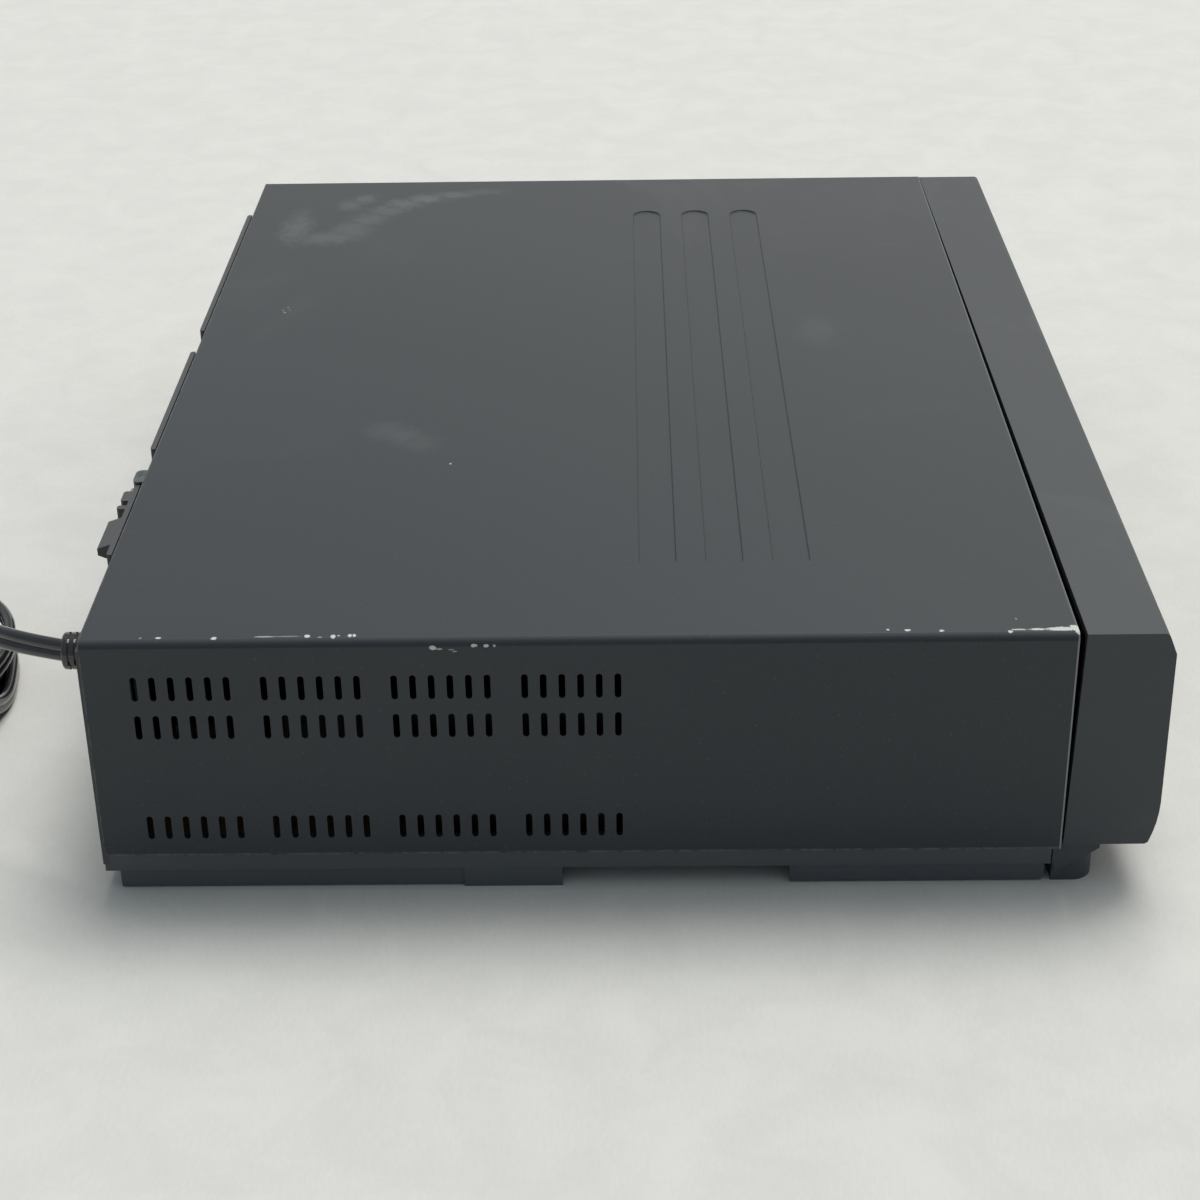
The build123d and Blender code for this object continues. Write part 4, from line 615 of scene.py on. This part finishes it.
@dataclass(frozen=True)
class Glassy(Recipe):
    """Smoked or clear glass with faint wipe marks."""

    name: str
    colour: Colour
    clear: float
    rough: float = 0.04
    alpha: float = 1.0

    def paint(self, finish: Finish, graph: Graph, groups: Groups) -> None:
        """Paints the glass."""
        soil = groups.soil.place(finish, Scale=25.0)
        rough = graph.ramp(soil.outputs["Smear"], 0.0, 1.0, self.rough, self.rough + 0.10)
        pale = tuple(part * 1.3 + 0.004 for part in self.colour)
        finish.set(Base_Color=graph.mix(soil.outputs["Smear"], self.colour, pale), Roughness=rough,
                   Transmission_Weight=self.clear, IOR=1.49, Alpha=self.alpha)


@dataclass(frozen=True)
class Vinyl(Recipe):
    """Glossy cord vinyl, slightly grimy."""

    name: str = "cord_vinyl"
    colour: Colour = (0.011, 0.012, 0.014)

    def paint(self, finish: Finish, graph: Graph, groups: Groups) -> None:
        """Paints the vinyl."""
        soil = groups.soil.place(finish, Scale=60.0)
        pale = tuple(part * 1.8 for part in self.colour)
        shade = graph.mix(graph.times(soil.outputs["Smear"], 0.5), self.colour, pale)
        rough = graph.ramp(soil.outputs["Smear"], 0.0, 1.0, 0.11, 0.22)
        finish.set(Base_Color=shade, Roughness=rough, Specular_IOR_Level=0.5, Coat_Weight=0.6,
                   Coat_Roughness=0.04)
        finish.bump(graph.noise(finish.where, 420.0, 2.0), 0.00002, 0.25)


class Paintbox:
    """Every material of the recorder, and which node wears which."""

    shared: Paintbox
    recipes: tuple[Recipe, ...] = (
        Moulded("bezel_plastic", (0.047, 0.052, 0.057), 0.55, gloss=0.38),
        Moulded("chassis_plastic", (0.060, 0.068, 0.077), 0.45),
        Moulded("panel_plastic", (0.045, 0.047, 0.051), 0.5),
        Moulded("key_plastic", (0.13, 0.135, 0.14), 0.42, 2200.0, 0.00003),
        Metal("screw_steel", (0.24, 0.24, 0.25), 0.42),
        Metal("plate_steel", (0.52, 0.52, 0.51), 0.38, (12.0, 2200.0, 2200.0)),
        Glassy("window_smoke", (0.012, 0.013, 0.015), 0.0, 0.05, 0.5),
        Glassy("display_glass", (0.03, 0.045, 0.045), 0.0, 0.08),
        Board(),
        Moulded("chip_plastic", (0.022, 0.022, 0.024), 0.45, 2600.0, 0.00003),
        Moulded("ribbon_vinyl", (0.62, 0.62, 0.60), 0.4, 700.0, 0.00004),
        Metal("connector_nickel", (0.62, 0.61, 0.58), 0.28),
        Moulded("socket_plastic", (0.045, 0.045, 0.05), 0.3),
        Moulded("ferrite", (0.055, 0.054, 0.056), 0.62, 1200.0, 0.0001),
        Moulded("capacitor_sleeve", (0.025, 0.045, 0.13), 0.28, 1500.0, 0.00002),
        # the heatsink's near-black colour is painted shade: it keeps the view through the side vents dark
        Metal("sink_aluminium", (0.055, 0.056, 0.060), 0.5, (1200.0, 1200.0, 30.0)),
        Glassy("fuse_glass", (0.85, 0.87, 0.86), 0.85),
        Metal("drum_aluminium", (0.78, 0.78, 0.79), 0.18, (60.0, 60.0, 2600.0)),
        Metal("bearing_brass", (0.72, 0.55, 0.26), 0.3, (60.0, 60.0, 2000.0)),
        Metal("motor_steel", (0.58, 0.58, 0.59), 0.26, (60.0, 60.0, 1800.0)),
        Moulded("roller_rubber", (0.024, 0.024, 0.025), 0.68, 1800.0, 0.00006),
        Moulded("gear_plastic", (0.70, 0.68, 0.60), 0.4, 1500.0, 0.00003, 1.1),
        Moulded("reel_plastic", (0.06, 0.06, 0.068), 0.38),
        Metal("head_metal", (0.74, 0.74, 0.75), 0.14, (40.0, 40.0, 1500.0)),
        Metal("spring_steel", (0.50, 0.50, 0.51), 0.3, (1500.0, 60.0, 60.0)),
        Vinyl(),
    )

    def __init__(self, groups: Groups) -> None:
        """Builds the materials.

        Args:
            groups: the shared node groups.
        """
        self.slots: dict[str, Material] = {"cover_paint": Enamel().make(groups)}
        for recipe in self.recipes:
            self.slots[recipe.name] = recipe.make(groups)

    def dress(self, frame: dict) -> None:
        """Gives each node the finish of its slot.

        Args:
            frame: the loaded frame.
        """
        for entry in frame["record"]["subparts"]:
            node = frame["nodes"][entry["node"]]
            finish = self.slots[entry["material_slot"]]
            node.data.materials.clear()
            node.data.materials.append(finish)
            log.info("dressed %s in %s", entry["node"], finish.name)


# ---------- camera, light, stage
@dataclass
class Studio:
    """Camera, lamp, floor and surround."""

    lens_mm: float = 71.016
    sensor_mm: float = 36.0
    camera_place: Point = (-0.82608, -0.00560, 0.43077)
    elevation: float = 28.2085
    azimuth: float = 0.8218
    roll: float = -0.9146
    floor_colour: Colour = (0.615, 0.608, 0.577)
    bright_side: Point = (0.85, -0.55, 0.12)
    dim_colour: Colour = (0.76, 0.89, 1.0)
    bright_colour: Colour = (1.0, 0.99, 0.94)
    room_dim: float = 0.35
    mirror_share: float = 0.2
    room_bright: float = 0.82
    dusk_side: Point = (0.80, 0.14, 0.60)
    dusk_start: float = 0.94
    dusk: float = 0.45
    seen_colour: Colour = (0.66, 0.66, 0.64)
    floor_half: float = 4.0
    window_place: Point = (3.5, -1.9, 11.2)
    window_size: float = 6.4
    window_watts: float = 1190.0
    window_colour: Colour = (1.0, 0.99, 0.965)

    def camera(self) -> None:
        """Creates the camera, level with its roll, and makes it the scene's."""
        data = bpy.data.cameras.new("camera")
        data.lens = self.lens_mm
        data.sensor_width = self.sensor_mm
        data.clip_start = 0.01
        camera = add_object("camera", data)
        low, turn, roll = (math.radians(angle) for angle in (self.elevation, self.azimuth, self.roll))
        forward = Vector((math.cos(low) * math.cos(turn), math.cos(low) * math.sin(turn), -math.sin(low)))
        right = forward.cross(UP).normalized()
        up = right.cross(forward)
        level_right = right * math.cos(roll) + up * math.sin(roll)
        level_up = up * math.cos(roll) - right * math.sin(roll)
        turned = Matrix((level_right, level_up, -forward)).transposed().to_4x4()
        camera.matrix_world = Matrix.Translation(self.camera_place) @ turned
        bpy.context.scene.camera = camera

    def window(self) -> None:
        """The one lamp, a large square that faces the object."""
        data = bpy.data.lights.new("window", "AREA")
        data.shape = "SQUARE"
        data.size = self.window_size
        data.energy = self.window_watts
        data.color = self.window_colour
        lamp = add_object("window", data)
        lamp.location = self.window_place
        lamp.rotation_euler = (-Vector(self.window_place)).to_track_quat("-Z", "Y").to_euler()

    def world(self) -> None:
        """A soft surround, brighter to the right and front, dimmed high on the right, pale to the camera."""
        world = bpy.data.worlds.new("surround")
        bpy.context.scene.world = world
        world.use_nodes = True
        world.node_tree.nodes.clear()
        graph = Graph(world.node_tree)
        around = graph.node("ShaderNodeTexCoord").outputs["Generated"]
        side = graph.vector("DOT_PRODUCT", around, Vector(self.bright_side).normalized(), output=1)
        room = graph.node("ShaderNodeBackground")
        toward = graph.ramp(side, -0.5, 1.0)
        graph.fill(room, Color=graph.mix(toward, self.dim_colour, self.bright_colour))
        level = graph.ramp(toward, 0.0, 1.0, self.room_dim, self.room_bright, smooth=False)
        dusk = graph.vector("DOT_PRODUCT", around, Vector(self.dusk_side).normalized(), output=1)
        shade = graph.ramp(dusk, self.dusk_start, 1.0, 1.0, self.dusk)
        graph.fill(room, Strength=graph.times(level, shade))
        seen = graph.fill(graph.node("ShaderNodeBackground"), Color=self.seen_colour)
        mixer = graph.node("ShaderNodeMixShader")
        rays = graph.node("ShaderNodeLightPath")
        direct = graph.math("MAXIMUM", rays.outputs["Is Camera Ray"], rays.outputs["Is Transmission Ray"])
        mirrored = graph.times(rays.outputs["Is Glossy Ray"], self.mirror_share)
        graph.link(graph.math("MAXIMUM", direct, mirrored), mixer.inputs[0])
        graph.link(room.outputs[0], mixer.inputs[1])
        graph.link(seen.outputs[0], mixer.inputs[2])
        output = graph.node("ShaderNodeOutputWorld")
        graph.link(mixer.outputs[0], output.inputs[0])

    def floor(self) -> None:
        """A pale, faintly mottled floor."""
        mesh = bpy.data.meshes.new("floor")
        shape = bmesh.new()
        bmesh.ops.create_grid(shape, x_segments=1, y_segments=1, size=self.floor_half)
        shape.to_mesh(mesh)
        shape.free()
        floor = add_object("floor", mesh)
        finish = Finish("floor_paper")
        graph = finish.graph
        mottled = graph.noise(finish.where, 34.0, 6.0, 0.62, 0.6)
        fibres = graph.noise(graph.vector("MULTIPLY", finish.where, (1.0, 3.2, 1.0)), 260.0, 4.0, 0.7)
        tone = graph.math("ADD", graph.times(mottled, 0.6), graph.times(fibres, 0.4))
        dark = tuple(part * 0.955 for part in self.floor_colour)
        pale = tuple(part * 1.03 for part in self.floor_colour)
        finish.set(Base_Color=graph.mix(graph.ramp(tone, 0.35, 0.65), dark, pale), Roughness=0.75,
                   Specular_IOR_Level=0.2)
        mesh.materials.append(finish.material)
        floor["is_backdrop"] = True

    def build(self) -> None:
        """Builds everything round the object."""
        self.camera()
        self.world()
        self.floor()
        self.window()
        bpy.context.scene.view_settings.view_transform = "Standard"


# ---------- pieces
class Piece:
    """A new mesh piece under construction, in the frame's own coordinates."""

    def __init__(self, name: str) -> None:
        """Starts an empty piece.

        Args:
            name: the piece's name.
        """
        self.name = name
        self.shape = bmesh.new()

    def block(self, low: Point, high: Point, soft: float, turn: Matrix) -> None:
        """Adds a box with rounded edges.

        Args:
            low: its lowest corner.
            high: its highest corner.
            soft: the radius of its edges.
            turn: takes the box to its place in the frame.
        """
        middle = [(a + b) / 2 for a, b in zip(low, high)]
        size = [b - a for a, b in zip(low, high)]
        place = Matrix.Translation(middle) @ Matrix.Diagonal((*size, 1.0))
        made = bmesh.ops.create_cube(self.shape, size=1.0, matrix=place)
        edges = list({edge for vert in made["verts"] for edge in vert.link_edges})
        rounded = bmesh.ops.bevel(self.shape, geom=edges, offset=soft, segments=3, profile=0.5,
                                  affect="EDGES", material=-1)
        verts = list({vert for face in rounded["faces"] for vert in face.verts})
        bmesh.ops.transform(self.shape, matrix=turn, verts=verts)

    def loft(self, rings: Sequence[Sequence[Vector]], closed: bool = False) -> Piece:
        """Adds a skin over rings with equally many points.

        Args:
            rings: the rings, in order.
            closed: join the last ring to the first, else cap both ends.

        Returns:
            The piece itself.
        """
        made = [[self.shape.verts.new(point) for point in ring] for ring in rings]
        pairs = list(zip(made, made[1:] + made[:1])) if closed else list(zip(made, made[1:]))
        for first, second in pairs:
            for index, corner in enumerate(first):
                after = (index + 1) % len(first)
                self.shape.faces.new((corner, first[after], second[after], second[index]))
        if not closed:
            self.shape.faces.new(made[0][::-1])
            self.shape.faces.new(made[-1])
        return self

    def finish(self, slot: str, body: Body = Body.CHASSIS, crisp: float = 32.0) -> bpy.types.Object:
        """Turns the piece into an object that rides on a body.

        Args:
            slot: the material slot of its finish.
            body: the body that it rides on.
            crisp: faces meeting at more degrees than this keep a sharp edge.

        Returns:
            The object.
        """
        bmesh.ops.recalc_face_normals(self.shape, faces=self.shape.faces)
        mesh = bpy.data.meshes.new(self.name)
        self.shape.to_mesh(mesh)
        self.shape.free()
        mesh.shade_smooth()
        mesh.set_sharp_from_angle(angle=math.radians(crisp))
        mesh.materials.append(Paintbox.shared.slots[slot])
        made = add_object(self.name, mesh)
        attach(made, body.value)
        return made


# ---------- mains cord
@dataclass(frozen=True)
class Shift:
    """A stretch of the coil in which the line moves to another radius and height, in turns from its start."""

    start: float
    end: float
    radius: float
    height: float


@dataclass
class MainsCord:
    """Flat two-core cord: one smooth line from the bushing to the plug, with its coil on the way."""

    width: float = 0.0073
    thickness: float = 0.0041
    length: float = 1.85
    route: tuple[Point, ...] = (
        (-0.2012, 0.1651, 0.0797), (-0.1981, 0.1776, 0.0803), (-0.1905, 0.1911, 0.0800),
        (-0.1770, 0.2046, 0.0750), (-0.1585, 0.2144, 0.0610), (-0.1420, 0.2196, 0.0425),
        (-0.1285, 0.2214, 0.0240), (-0.1165, 0.2196, 0.0095), (-0.1040, 0.2171, 0.00365),
        (-0.0920, 0.2171, 0.00365),
    )
    centre: Flat = (-0.0855, 0.2601)
    start_radius: float = 0.0430
    low: float = 0.00365
    high: float = 0.0110
    top: float = 0.0183
    plug_axis_z: float = 0.0211
    tail_radius: float = 0.033
    tail_angle: float = 80.0
    tail_step: float = 20.0
    whole_turns: int = 7
    per_turn: int = 14
    samples: int = 5
    roll: float = 24.0
    rolled_by: float = 0.05
    unrolled: Flat = (0.10, 0.10)
    plug_sides: int = 40
    pin_reach: Flat = (0.0405, 0.0580)
    pin_offset: float = 0.00635
    pin_half: Flat = (0.00075, 0.00315)
    pin_soft: float = 0.0004
    tie_angle: float = 205.0
    tie_sides: int = 48
    tie_power: float = 0.4
    tie_radius: float = 0.0363
    tie_z: float = 0.00775
    tie_inner: Flat = (0.0093, 0.0070)
    tie_outer: Flat = (0.0101, 0.0077)
    tie_half_width: float = 0.0022

    def shifts(self) -> tuple[Shift, ...]:
        """Where the winding moves in, up, out and over itself."""
        return (
            Shift(0.72, 0.98, 0.0387, self.low), Shift(1.72, 1.98, 0.0344, self.low),
            Shift(2.72, 2.98, 0.0300, self.low), Shift(3.44, 3.76, 0.0300, self.high),
            Shift(4.14, 4.44, 0.0344, self.high), Shift(5.14, 5.44, 0.0387, self.high),
            Shift(6.14, 6.44, 0.0430, self.high), Shift(6.80, 7.12, 0.0430, self.top),
            Shift(7.10, 7.38, self.tail_radius, self.plug_axis_z),
        )

    def around(self, angle: float, radius: float, height: float) -> Point:
        """A point beside the coil's middle, by its angle in radians."""
        return (self.centre[0] + radius * math.cos(angle), self.centre[1] + radius * math.sin(angle), height)

    def points(self) -> list[Point]:
        """The control points of the whole line, exit to plug."""
        line = list(self.route)
        last = math.radians(self.tail_angle)
        before_last = math.radians(self.tail_angle - self.tail_step)
        end_turn = self.whole_turns + (before_last + math.pi / 2) / (2 * math.pi)
        for step in range(1, int(end_turn * self.per_turn)):
            turn = step / self.per_turn
            radius, height = self.start_radius, self.low
            for shift in self.shifts():
                part = ease((turn - shift.start) / (shift.end - shift.start))
                radius += (shift.radius - radius) * part
                height += (shift.height - height) * part
            line.append(self.around(2 * math.pi * turn - math.pi / 2, radius, height))
        line.append(self.around(before_last, self.tail_radius, self.plug_axis_z))
        line.append(self.around(last, self.tail_radius, self.plug_axis_z))
        return line

    def smooth_line(self) -> list[Vector]:
        """The points along the line's own spline."""
        data = bpy.data.curves.new("cord_line", "CURVE")
        data.dimensions = "3D"
        data.resolution_u = self.samples
        places = self.points()
        spline = data.splines.new("NURBS")
        spline.points.add(len(places) - 1)
        for point, place in zip(spline.points, places):
            point.co = (*place, 1.0)
        spline.order_u = 3
        spline.use_endpoint_u = True
        guide = bpy.data.objects.new("cord_line", data)
        mesh = bpy.data.meshes.new_from_object(guide)
        line = [vert.co.copy() for vert in mesh.vertices]
        bpy.data.objects.remove(guide)
        bpy.data.curves.remove(data)
        bpy.data.meshes.remove(mesh)
        return line

    def outline(self, per_core: int = 13) -> list[Flat]:
        """The cord's section: two cores side by side with a valley between, along and across its width."""
        core = self.thickness / 2
        offset = self.width / 2 - core
        valley = math.asin(offset / core)
        edge = []
        for side in (1.0, -1.0):
            start, end = -valley, math.pi + valley
            for step in range(per_core):
                angle = start + (end - start) * step / per_core
                edge.append((side * (offset + core * math.sin(angle)), side * core * math.cos(angle)))
        return edge

    def twist(self, done: float) -> float:
        """How far the cord is rolled about its line, in radians, by the distance from the bushing."""
        start, stretch = self.unrolled
        return math.radians(self.roll) * (ease(done / self.rolled_by) - ease((done - start) / stretch))

    def rings(self, line: Sequence[Vector]) -> list[list[Vector]]:
        """The section set along the line, its width upright where it isn't rolled."""
        rings = []
        done = 0.0
        for index, middle in enumerate(line):
            before = line[max(0, index - 1)]
            after = line[min(len(line) - 1, index + 1)]
            done += (middle - before).length
            heading = (after - before).normalized()
            flat = heading.cross(UP).normalized()
            upright = flat.cross(heading)
            roll = self.twist(done)
            wide = upright * math.cos(roll) + flat * math.sin(roll)
            thin = flat * math.cos(roll) - upright * math.sin(roll)
            rings.append([middle + wide * across + thin * along for across, along in self.outline()])
        return rings

    def plug(self) -> list[bpy.types.Object]:
        """The flat two-pin plug on the coil, its boot ribbed."""
        end, step_back = math.radians(self.tail_angle), math.radians(self.tail_angle - self.tail_step)
        place = Matrix.Translation(self.around(end, self.tail_radius, self.plug_axis_z))
        before = Vector(self.around(step_back, self.tail_radius, 0.0))
        heading = Vector(self.around(end, self.tail_radius, 0.0)) - before
        place = place @ Matrix.Rotation(math.atan2(heading.y, heading.x), 4, "Z")
        body = Piece("plug_body")
        stations = (
            (0.0000, 0.0047, 0.0036, 2.0), (0.0012, 0.0049, 0.0044, 2.0), (0.0035, 0.0051, 0.0044, 2.0),
            (0.0038, 0.0044, 0.0037, 2.0), (0.0050, 0.0044, 0.0038, 2.0), (0.0053, 0.0055, 0.0044, 2.0),
            (0.0075, 0.0058, 0.0044, 2.0), (0.0078, 0.0049, 0.0040, 2.0), (0.0090, 0.0051, 0.0042, 2.2),
            (0.0105, 0.0085, 0.0050, 3.0), (0.0135, 0.0108, 0.0059, 4.0), (0.0180, 0.0121, 0.0064, 5.0),
            (0.0250, 0.0125, 0.0065, 5.5), (0.0340, 0.0125, 0.0065, 5.5), (0.0390, 0.0121, 0.0065, 5.5),
            (0.0412, 0.0116, 0.0063, 5.0), (0.0420, 0.0106, 0.0055, 4.5),
        )
        rings = []
        for along, half_width, half_height, power in stations:
            ring = []
            for step in range(self.plug_sides):
                across, up = squarish(2 * math.pi * step / self.plug_sides, 2 / power)
                ring.append(place @ Vector((along, across * half_width, up * half_height)))
            rings.append(ring)
        body.loft(rings)
        pins = Piece("plug_pins")
        start, end = self.pin_reach
        half_width, half_height = self.pin_half
        for side in (-1, 1):
            middle = side * self.pin_offset
            pins.block((start, middle - half_width, -half_height), (end, middle + half_width, half_height),
                       self.pin_soft, place)
        made = [body.finish("cord_vinyl"), pins.finish("connector_nickel")]
        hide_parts("power_plug")
        return made

    def tie(self) -> None:
        """A thin strap round the winding, opposite the plug."""
        tie = Piece("cord_tie")
        angle = math.radians(self.tie_angle)
        outward = Vector((math.cos(angle), math.sin(angle), 0.0))
        sideways = Vector((-math.sin(angle), math.cos(angle), 0.0))
        middle = Vector((*self.centre, 0.0)) + outward * self.tie_radius
        half = sideways * self.tie_half_width
        rings = []
        for step in range(self.tie_sides):
            across, up = squarish(2 * math.pi * step / self.tie_sides, self.tie_power)
            inner, outer = (middle + outward * across * wide + Vector((0.0, 0.0, self.tie_z + up * high))
                            for wide, high in (self.tie_inner, self.tie_outer))
            rings.append([inner - half, outer - half, outer + half, inner + half])
        tie.loft(rings, closed=True).finish("chip_plastic")

    def build(self) -> None:
        line = self.smooth_line()
        cord = Piece("mains_cord").loft(self.rings(line)).finish("cord_vinyl", crisp=70.0)
        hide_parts("power_cord", "cord_coil")
        pieces = self.plug()
        self.tie()


# ---------- small trim
@dataclass
class FrontMarks:
    """Symbols printed on the front by each key, and the unlit digits of the clock."""

    proud: float = 0.00005
    deep: float = 0.00020
    disc_sides: int = 28
    digit_z: float = 0.0370
    digit_places: tuple[float, ...] = (-0.030, -0.020, -0.004, 0.006)
    colon_x: float = -0.012
    power_place: Flat = (-0.162, 0.0617)
    power_ring: Flat = (0.0016, 0.00122)
    stop_place: Flat = (-0.1650, 0.0420)
    eject_x: float = -0.1589
    play_place: Flat = (0.1600, 0.0617)
    rewind_x: float = 0.1445
    forward_x: float = 0.1755
    wind_z: float = 0.0435
    record_place: Flat = (0.1600, 0.0263)
    minus_x: float = -0.1755
    plus_x: float = -0.1485
    channel_z: float = 0.0212

    def plate(self, piece: Piece, outline: Sequence[Flat], y: float = FACE_Y) -> None:
        """Adds a thin plate with an outline in the front's plane.

        Args:
            piece: the piece that it joins.
            outline: X, Z of its corners.
            y: the surface that it is printed on.
        """
        rings = [[Vector((x, y + step, z)) for x, z in outline] for step in (-self.proud, self.deep)]
        piece.loft(rings)

    def disc(self, x: float, z: float, radius: float, start: float = 0.0, sweep: float = 360.0) -> list[Flat]:
        """The corners of a disc or of a part of one."""
        count = self.disc_sides
        return [(x + radius * math.cos(math.radians(start + sweep * step / count)),
                 z + radius * math.sin(math.radians(start + sweep * step / count)))
                for step in range(count if sweep >= 360.0 else count + 1)]

    def triangle(self, x: float, z: float, size: float, way: float) -> list[Flat]:
        """A triangle that points along X, to the right where way is 1."""
        back, tip = x - way * size * 0.5, x + way * size * 0.5
        return [(back, z - size * 0.58), (tip, z), (back, z + size * 0.58)]

    def bar(self, x: float, z: float, width: float, height: float) -> list[Flat]:
        """A rectangle about a point."""
        left, right, low, high = x - width / 2, x + width / 2, z - height / 2, z + height / 2
        return [(left, low), (right, low), (right, high), (left, high)]

    def symbols(self) -> None:
        """One printed symbol under each key."""
        marks = Piece("front_symbols")
        outer, inner = (self.disc(*self.power_place, radius, 120.0, 300.0) for radius in self.power_ring)
        for index in range(len(outer) - 1):
            self.plate(marks, [outer[index], outer[index + 1], inner[index + 1], inner[index]])
        self.plate(marks, self.bar(self.power_place[0], 0.0629, 0.0004, 0.0018))
        self.plate(marks, self.bar(*self.stop_place, 0.0022, 0.0022))
        self.plate(marks, [(-0.1605, 0.0417), (-0.1573, 0.0417), (self.eject_x, 0.0433)])
        self.plate(marks, self.bar(self.eject_x, 0.0409, 0.0032, 0.0006))
        self.plate(marks, self.triangle(*self.play_place, 0.0024, 1.0))
        for shift in (-0.00115, 0.00115):
            self.plate(marks, self.triangle(self.rewind_x + shift, self.wind_z, 0.0021, -1.0))
            self.plate(marks, self.triangle(self.forward_x + shift, self.wind_z, 0.0021, 1.0))
        self.plate(marks, self.disc(*self.record_place, 0.0012))
        for x in (self.minus_x, self.plus_x):
            self.plate(marks, self.bar(x, self.channel_z, 0.0024, 0.0005))
        self.plate(marks, self.bar(self.plus_x, self.channel_z, 0.0005, 0.0024))
        marks.finish("ribbon_vinyl")

    def digits(self) -> None:
        """Four unlit seven-part digits and a colon behind the window."""
        digits = Piece("clock_digits")
        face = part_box("display_panel")[0][1]
        segments = [(0, up, 0.0040, 0.0007) for up in (0.0045, 0, -0.0045)]
        segments += [(across, up, 0.0007, 0.0036)
                     for up in (0.00225, -0.00225) for across in (-0.0026, 0.0026)]
        for x in self.digit_places:
            for across, up, wide, high in segments:
                self.plate(digits, self.bar(x + across, self.digit_z + up, wide, high), face)
        for up in (-0.0020, 0.0020):
            self.plate(digits, self.bar(self.colon_x, self.digit_z + up, 0.0008, 0.0008), face)
        digits.finish("ribbon_vinyl")

    def build(self) -> None:
        """Makes the marks."""
        self.symbols()
        self.digits()


@dataclass
class RearTrim:
    """Plated sleeves on the phono sockets."""

    socket_radius: float = 0.00415
    outward: float = 0.00012
    inward: float = 0.0001
    reach: Flat = (0.1606, 0.16795)
    lowest_row: float = 0.009
    bevel: float = 0.0003
    sides: int = 36

    def sleeve(self, piece: Piece, x: float, z: float) -> None:
        """Adds a short tube along Y.

        Args:
            piece: the piece that it joins.
            x: its axis.
            z: its axis.
        """
        start, end = self.reach
        outer, inner = self.socket_radius + self.outward, self.socket_radius - self.inward
        rings = []
        for place, radius in ((start, outer), (end - self.bevel, outer), (end, outer - self.bevel),
                              (end, inner), (start, inner)):
            turns = [2 * math.pi * step / self.sides for step in range(self.sides)]
            rings.append([Vector((x + radius * math.cos(turn), place, z + radius * math.sin(turn)))
                          for turn in turns])
        piece.loft(rings, closed=True)

    def build(self) -> None:
        """Makes the sleeves."""
        low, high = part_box("av_jacks")
        middle_x = (low[0] + high[0]) / 2
        spacing = (high[0] - low[0]) / 3
        base_z = low[2] + self.lowest_row
        sleeves = Piece("socket_sleeves")
        for column in (-1, 0, 1):
            for row in (0, 1):
                self.sleeve(sleeves, middle_x + spacing * column, base_z + spacing * row)
        sleeves.finish("connector_nickel")


class Recorder:
    """The whole job in order."""

    def __init__(self) -> None:
        """Loads the frame and keeps its box."""
        self.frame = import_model()
        self.start_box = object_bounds()

    def build(self) -> None:
        """Builds the stage, dresses the nodes and adds the trim."""
        Studio().build()
        Paintbox.shared = Paintbox(Groups())
        Paintbox.shared.dress(self.frame)
        MainsCord().build()
        FrontMarks().build()
        RearTrim().build()


def main() -> None:
    """Builds the recorder."""
    logging.basicConfig(level=logging.INFO, format="%(name)s: %(message)s")
    recorder = Recorder()
    recorder.build()


if __name__ == "__main__":
    main()
